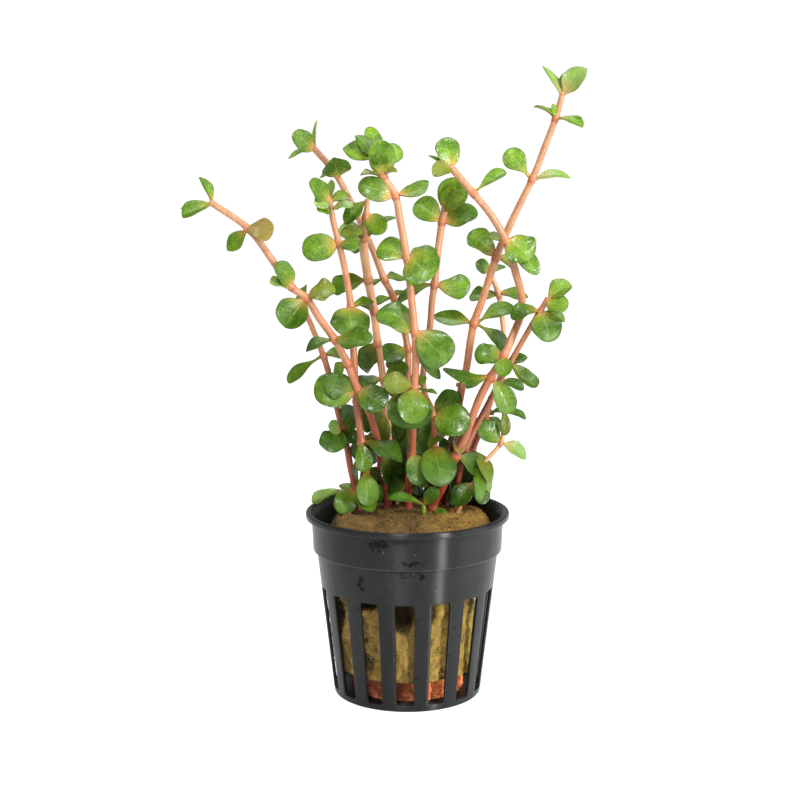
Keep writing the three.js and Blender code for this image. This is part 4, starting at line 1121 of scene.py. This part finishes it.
# The clay: its radius and top, how far it is above the floor, how much lower its shoulder is
# than its top, how far crumbs may stand out, and how rough its lumps and its grains are
CLAY_RADIUS = 15.6
CLAY_TOP = 8.1
CLAY_GAP = 0.15
CLAY_SHOULDER = 0.75
CLAY_CRUMB = 0.5
CLAY_LUMPS = 0.42
CLAY_GRAINS = 0.16
CLAY_COLUMNS = 240
CLAY_ROWS = 56

# The wool: the heights and radii of its sides, how far its side is shifted, how far it swells on
# the left and falls short on the right, over how many degrees, the height of its top and its
# edge, how far it keeps from the wall, and how rough its side and its top are
WOOL_FOOT = 7.6
WOOL_FOOT_RADIUS = 18.8
WOOL_WAIST = 29
WOOL_WAIST_RADIUS = 20.7
WOOL_SHIFT = -0.9
WOOL_SWELL = 1.6
WOOL_SWELL_DEGREES = 24
WOOL_GAP = 1.5
WOOL_GAP_DEGREES = 22
WOOL_GAP_FOOT = 11
WOOL_FULL = 34.5
WOOL_SIDE_TOP = STEP_HEIGHT - 0.8
WOOL_EDGE = 44.6
WOOL_CROWN = 48.3
WOOL_SHOULDER = 0.2
WOOL_SLACK = 0.6
WOOL_CLEARANCE = 0.25
WOOL_EDGE_CLEARANCE = 0.15
SIDE_TEAR = 0.75
SIDE_FIBRE = 0.28
TOP_TEAR = 1.25
TOP_FIBRE = 0.45
TOP_RISE = 0.7
WOOL_COLUMNS = 300
WOOL_SIDE_ROWS = 84
WOOL_TOP_ROWS = 54


def rough(point, grain, seed):
    """Noise of several sizes at a point, between about -1 and 1."""
    return noise.fractal(point / grain + Vector((seed, 0, 0)), 0.6, 2.1, 4)


def held(value):
    """The value, held between 0 and 1."""
    return max(0, min(1, value))


def half_turn(degrees):
    """The same direction as an angle between -180 and 180."""
    return (degrees + 180) % 360 - 180


def make_clay():
    """The clay puck: rough and crumbly, its top edge broken."""
    skin = Skin()
    side = CLAY_RADIUS - CLAY_CRUMB
    bottom = FLOOR + CLAY_GAP
    shoulder = CLAY_TOP - CLAY_SHOULDER
    rings = []
    for row in range(CLAY_ROWS):
        share = 2 * row / (CLAY_ROWS - 1)
        on_side = share < 1
        radius, height = side, bottom + (shoulder - bottom) * share
        if not on_side:
            radius = side * max(0.004, 2 - share) ** 0.8
            height = shoulder + CLAY_CRUMB * min(1, (share - 1) * 6)
        ring = []
        for k in range(CLAY_COLUMNS):
            angle = 2 * math.pi * k / CLAY_COLUMNS
            point = Vector((radius * math.cos(angle), radius * math.sin(angle), height))
            out = Vector((math.cos(angle), math.sin(angle), 0)) if on_side else Vector((0, 0, 1))
            push = CLAY_LUMPS * rough(point, 2.2, 3.1) + CLAY_GRAINS * rough(point, 0.6, 8.4)
            ring.append(point + out * min(CLAY_CRUMB, push))
        rings.append(ring)
    skin.loft(rings)
    skin.piece("clay_puck", CLAY, "clay", ["clay"])


# Hollows in the wool's side: angle from the front, height, reach round and up, and depth
HOLLOWS = [
    (-1.6, 26, 8.5, 4.8, 4.6), (-62, 24, 9, 6, 3), (-30, 29, 10, 1.6, 2.4), (22, 26.5, 3.2, 3.4, 2.2),
    (-36, 12, 9, 3, 1.8), (64, 17, 6, 8, 1.6), (130, 24, 10, 4, 3.5), (-140, 20, 8, 6, 3),
    (176, 27, 9, 3, 3.5), (-104, 14, 7, 5, 2.5), (98, 12, 7, 4, 2.5),
]

# Crevices in the wool's top: how far right they are, half width and depth
CREVICES = [(-22, 3, 3.4), (24, 1.6, 2.6)]


def hollow(degrees, height):
    """How deep the wool is hollowed there."""
    depth = 0
    for middle, level, wide, tall, deep in HOLLOWS:
        turn = half_turn(degrees - middle)
        depth += deep * math.exp(-((turn / wide) ** 2 + ((height - level) / tall) ** 2) ** 2.5)
    return depth


def wool_side(degrees, height):
    """The wool's side: its point, and how much painted shade it gets: more in hollows and dips and on the
    left swell.
    """
    if height < WOOL_WAIST:
        share = (height - WOOL_FOOT) / (WOOL_WAIST - WOOL_FOOT)
        radius = WOOL_FOOT_RADIUS + (WOOL_WAIST_RADIUS - WOOL_FOOT_RADIUS) * share
    else:
        full = wall_outside(WOOL_FULL) - WALL - WOOL_SLACK
        share = min(1, (height - WOOL_WAIST) / (WOOL_FULL - WOOL_WAIST))
        radius = WOOL_WAIST_RADIUS + (full - WOOL_WAIST_RADIUS) * share
    point = lathe_point(radius, degrees, height)
    aside = WOOL_SHIFT * held((WOOL_FULL - height) / 4) * held((height - WOOL_FOOT) / 9)
    tear = rough(Vector((point.x, point.y, point.z * 0.7)), 5, 1.7)
    fibre = rough(Vector((point.x, point.y, point.z * 0.35)), 0.9, 5.2)
    dug = hollow(degrees, height)
    swell = WOOL_SWELL * math.exp(-((half_turn(degrees + 90) / WOOL_SWELL_DEGREES) ** 4))
    gap = WOOL_GAP * math.exp(-((half_turn(degrees - 90) / WOOL_GAP_DEGREES) ** 4))
    gap *= held((height - WOOL_GAP_FOOT) / 3) * held((WOOL_FULL - height) / 5)
    radius += SIDE_TEAR * tear + SIDE_FIBRE * fibre - dug + swell - gap
    point = lathe_point(radius, degrees, height) + Vector((aside, 0, 0))
    room = wall_outside(height) - WALL - WOOL_CLEARANCE
    reach = math.hypot(point.x, point.y)
    if reach > room:
        point.x *= room / reach
        point.y *= room / reach
    # Painted shade: deeper hollows, torn dips and the left swell are darker.
    return point, min(1, dug / 2.6 + max(0, -tear - 0.25) + 0.4 * swell)


def wool_top(degrees, share):
    """The wool's top, from its edge, share 0, to its middle, share 1: its point, and the painted shade of
    its crevices and dips.
    """
    edge = COLLAR_RADIUS_BOTTOM - WALL - WOOL_EDGE_CLEARANCE
    x, y = lathe_point(edge * (1 - share), degrees, 0)[:2]
    shoulder = min(1, share / WOOL_SHOULDER)
    height = WOOL_EDGE + (WOOL_CROWN - WOOL_EDGE) * math.sin(shoulder * math.pi / 2)
    crevice = sum(deep * math.exp(-((x - at) / half) ** 2) for at, half, deep in CREVICES)
    crevice *= held((y + 17) / 8)
    point = Vector((x, y, height))
    push = TOP_TEAR * rough(point, 6, 2.9) + TOP_FIBRE * rough(point, 1.5, 7.7)
    point.z += min(TOP_RISE, push) - crevice
    return point, min(1, crevice / 3 + max(0, -push - 0.45))


def make_wool():
    """The plug of wet mineral wool with its torn surface."""
    skin = Skin()
    tall = WOOL_SIDE_TOP - WOOL_FOOT
    levels = [WOOL_FOOT + tall * k / (WOOL_SIDE_ROWS - 1) for k in range(WOOL_SIDE_ROWS)]
    shares = [(k + 0.3) / WOOL_TOP_ROWS for k in range(WOOL_TOP_ROWS)]
    rings, where = [], []
    # Damp darkens the top most: its wetness with painted shade from the leaves; depth is painted shade.
    for part, rows, damp in ((wool_side, levels, 0.2), (wool_top, shares, 1)):
        for level in rows:
            made = [part(360 * k / WOOL_COLUMNS, level) for k in range(WOOL_COLUMNS)]
            rings.append([point for point, _ in made])
            where.append([(depth, 0, damp) for _, depth in made])
    skin.loft(rings, where)
    skin.piece("mineral_wool", WOOL, "wool", ["rock_wool"])


# Loose strands: how many are tried, the share of them on top, their points and sides, the
# thinnest and the thickest, and the bounds of the wool's top and side that they lie on
STRANDS = 2600
STRANDS_ON_TOP = 0.42
STRAND_POINTS = 6
STRAND_SIDES = 3
STRAND_RADII = (0.035, 0.075)
STRAND_TOP_RADIUS = 23
STRAND_TOP_REACH = 22.3
STRAND_SIDE_RADIUS = 18
STRAND_START_HEIGHT = 33
STRAND_SIDE_HEIGHT = 34


def make_strands():
    """Loose strands on the wool's top and side: short, curved and thin."""
    rng = random.Random(17)
    skin = Skin()
    for _ in range(STRANDS):
        degrees = rng.uniform(-180, 180)
        on_top = rng.random() < STRANDS_ON_TOP
        if on_top:
            level = rng.random() ** 1.2 * 0.97
        else:
            level = rng.uniform(WOOL_FOOT + 0.5, STRAND_START_HEIGHT)
        lean = rng.gauss(0, 0.9)
        length = rng.uniform(1.5, 5.5)
        curl = rng.uniform(-1.2, 1.2)
        lift = rng.uniform(0.02, 0.3)
        points, depth = [], 0
        for k in range(STRAND_POINTS):
            t = k / (STRAND_POINTS - 1)
            turn = lean + curl * t
            if on_top:
                x, y = lathe_point(STRAND_TOP_RADIUS * (1 - level), degrees, 0)[:2]
                x += length * t * math.cos(turn * 2.2)
                y += length * t * math.sin(turn * 2.2)
                reach = math.hypot(x, y)
                if reach > STRAND_TOP_REACH:
                    break
                share = 1 - reach / STRAND_TOP_RADIUS
                point, sunk = wool_top(math.degrees(math.atan2(x, -y)), share)
                point += Vector((0, 0, lift * (0.4 + math.sin(math.pi * t))))
            else:
                height = level + length * t * math.cos(turn)
                around = degrees + math.degrees(length * t * math.sin(turn) / STRAND_SIDE_RADIUS)
                if not WOOL_FOOT < height < STRAND_SIDE_HEIGHT:
                    break
                point, sunk = wool_side(around, height)
                out = lathe_point(1, around, 0)
                point += out * lift * (0.4 + 2 * math.sin(math.pi * t))
            depth += sunk / STRAND_POINTS
            points.append(point)
        if len(points) < 4:
            continue
        thickness = rng.uniform(*STRAND_RADII)
        radii = [thickness * (1 - 0.75 * (k / (len(points) - 1)) ** 2) for k in range(len(points))]
        # Strands take the painted shade of the hollows they lie in, and the top's wetness with its
        # painted shade.
        damp = 0.75 if on_top else 0.1
        where = [[(depth * 0.6, 1, damp)] * STRAND_SIDES] * len(points)
        tube(skin, points, radii, STRAND_SIDES, where)
    skin.piece("wool_strands", WOOL, "wool")


def make_plant():
    """Every stem with its leaves."""
    for number, row in enumerate(STEMS, 1):
        stem = Stem(row)
        rng = random.Random(100 + number)
        stem_skin(stem, number).piece(f"stem_{number}_bark", STEM, "stem", [f"stem_{number}"])
        tip = Skin()
        for leaf_row in row.get("crown", []):
            leaf(tip, stem.at(len(row["route"]) - 1), CROWN_FOOT, leaf_row, rng)
        for at, leaf_row in row.get("lone", []):
            leaf(tip, stem.at(at), LONE_FOOT, leaf_row, rng)
        if tip.points:
            tip.piece(f"stem_{number}_tip_leaves", LEAF, "leaf", [f"stem_{number}"])
        for k, (at, *leaves) in enumerate(row["pairs"], 1):
            skin = Skin()
            for leaf_row in leaves:
                leaf(skin, stem.at(at), PAIR_FOOT, leaf_row, rng)
            name = f"leaf_pair_{number}_{k}"
            skin.piece(f"{name}_leaves", LEAF, "leaf", [name])


def make_seedling():
    """The seedling's short shoot with its leaves."""
    rng = random.Random(5)
    skin = Skin()
    foot = place(SEEDLING["foot"])
    head = foot + Vector((0, 0, SEEDLING["height"]))
    radius = SEEDLING["thick"] / 2
    points = [foot - Vector((0, 0, 1.4)), foot, head, head + Vector((0, 0, 0.4))]
    radii = [radius * share for share in (0.8, 0.8, 0.7, 0.3)]
    tube(skin, points, radii, 12, [[(0.2, 0, 1)] * 12] * 4, (0.4, 0.4, 0.3))
    for row in SEEDLING["leaves"]:
        leaf(skin, (head, Vector((0, 0, 1)), radius), SEEDLING_FOOT, row, rng)
    skin.piece("seedling_shoot", LEAF, "leaf", ["seedling"])


# How bright the surround is as a light and as it is seen, the floor's radius in metres, how
# bright it glows and how much of that is seen
SURROUND_LIGHT = 0.45
SURROUND_SEEN = 1.1
FLOOR_RADIUS_M = 3
FLOOR_GLOW = 1.2
FLOOR_GLOW_SEEN = 0.75

# Soft lamps: name, place, width and height in metres, and power
LAMPS = [
    ("key", (0.6, -0.68, 0.45), (0.1, 0.75), 9),
    ("strip", (0.6, -0.68, 0.2), (0.08, 0.38), 5.8),
    ("side", (1.0, -0.15, 0.5), (0.7, 0.7), 7),
    ("front", (-0.15, -0.8, 0.9), (0.25, 0.25), 12),
    ("top", (-0.1, 0.3, 0.95), (0.5, 0.5), 7),
]
LAMPS_AIM_AT = Vector((0, 0, 0.08))


def make_stage():
    """A plain white floor that runs up to the white surround."""
    s = Shader(bpy.data.materials.new("floor"))
    cloud = s.noise(60, 2, 0.4)
    s.colour = s.mix(s.band(cloud, 0.3, 0.7), (0.86, 0.86, 0.86, 1), (0.9, 0.9, 0.9, 1))
    matt = s.principled(Roughness=0.9, Specular_IOR_Level=0.1)
    glow = s.node("Emission", {"Color": (1, 1, 1, 1), "Strength": FLOOR_GLOW})[0]
    share = s.times(s.node("LightPath")["Is Camera Ray"], FLOOR_GLOW_SEEN)
    white = s.done(s.node("MixShader", {0: share, 1: matt, 2: glow})[0])
    bpy.ops.mesh.primitive_circle_add(vertices=96, radius=FLOOR_RADIUS_M, fill_type="NGON")
    floor = bpy.context.object
    floor.name = "floor"
    floor.data.materials.append(white)
    s = Shader(bpy.data.worlds.new("surround"))
    seen = s.node("LightPath")["Is Camera Ray"]
    bright = {"Value": seen, "To Min": SURROUND_LIGHT, "To Max": SURROUND_SEEN}
    level = s.node("MapRange", bright)[0]
    white = s.node("Background", {"Color": (1, 1, 1, 1), "Strength": level})[0]
    bpy.context.scene.world = s.done(white, "World")


def make_lights():
    """Soft light from all sides, strongest from the right."""
    for name, spot, size, power in LAMPS:
        lamp = bpy.data.lights.new(name, "AREA")
        lamp.shape = "RECTANGLE"
        lamp.size, lamp.size_y = size
        lamp.energy = power
        made = add_object(name, lamp)
        made.location = spot
        made.rotation_euler = (LAMPS_AIM_AT - Vector(spot)).to_track_quat("-Z", "Y").to_euler()


def make_camera():
    """A camera where the eye is."""
    lens = bpy.data.cameras.new("camera")
    lens.lens = LENS_MM
    lens.sensor_width = SENSOR_MM
    camera = add_object("camera", lens)
    camera.location = EYE * MM
    camera.rotation_euler = (math.radians(90 - PITCH_DEGREES), 0, 0)
    bpy.context.scene.camera = camera
    bpy.context.scene.view_settings.view_transform = "Standard"


make_camera()
make_plant()
make_seedling()
make_pot()
make_clay()
make_wool()
make_strands()
make_stage()
make_lights()
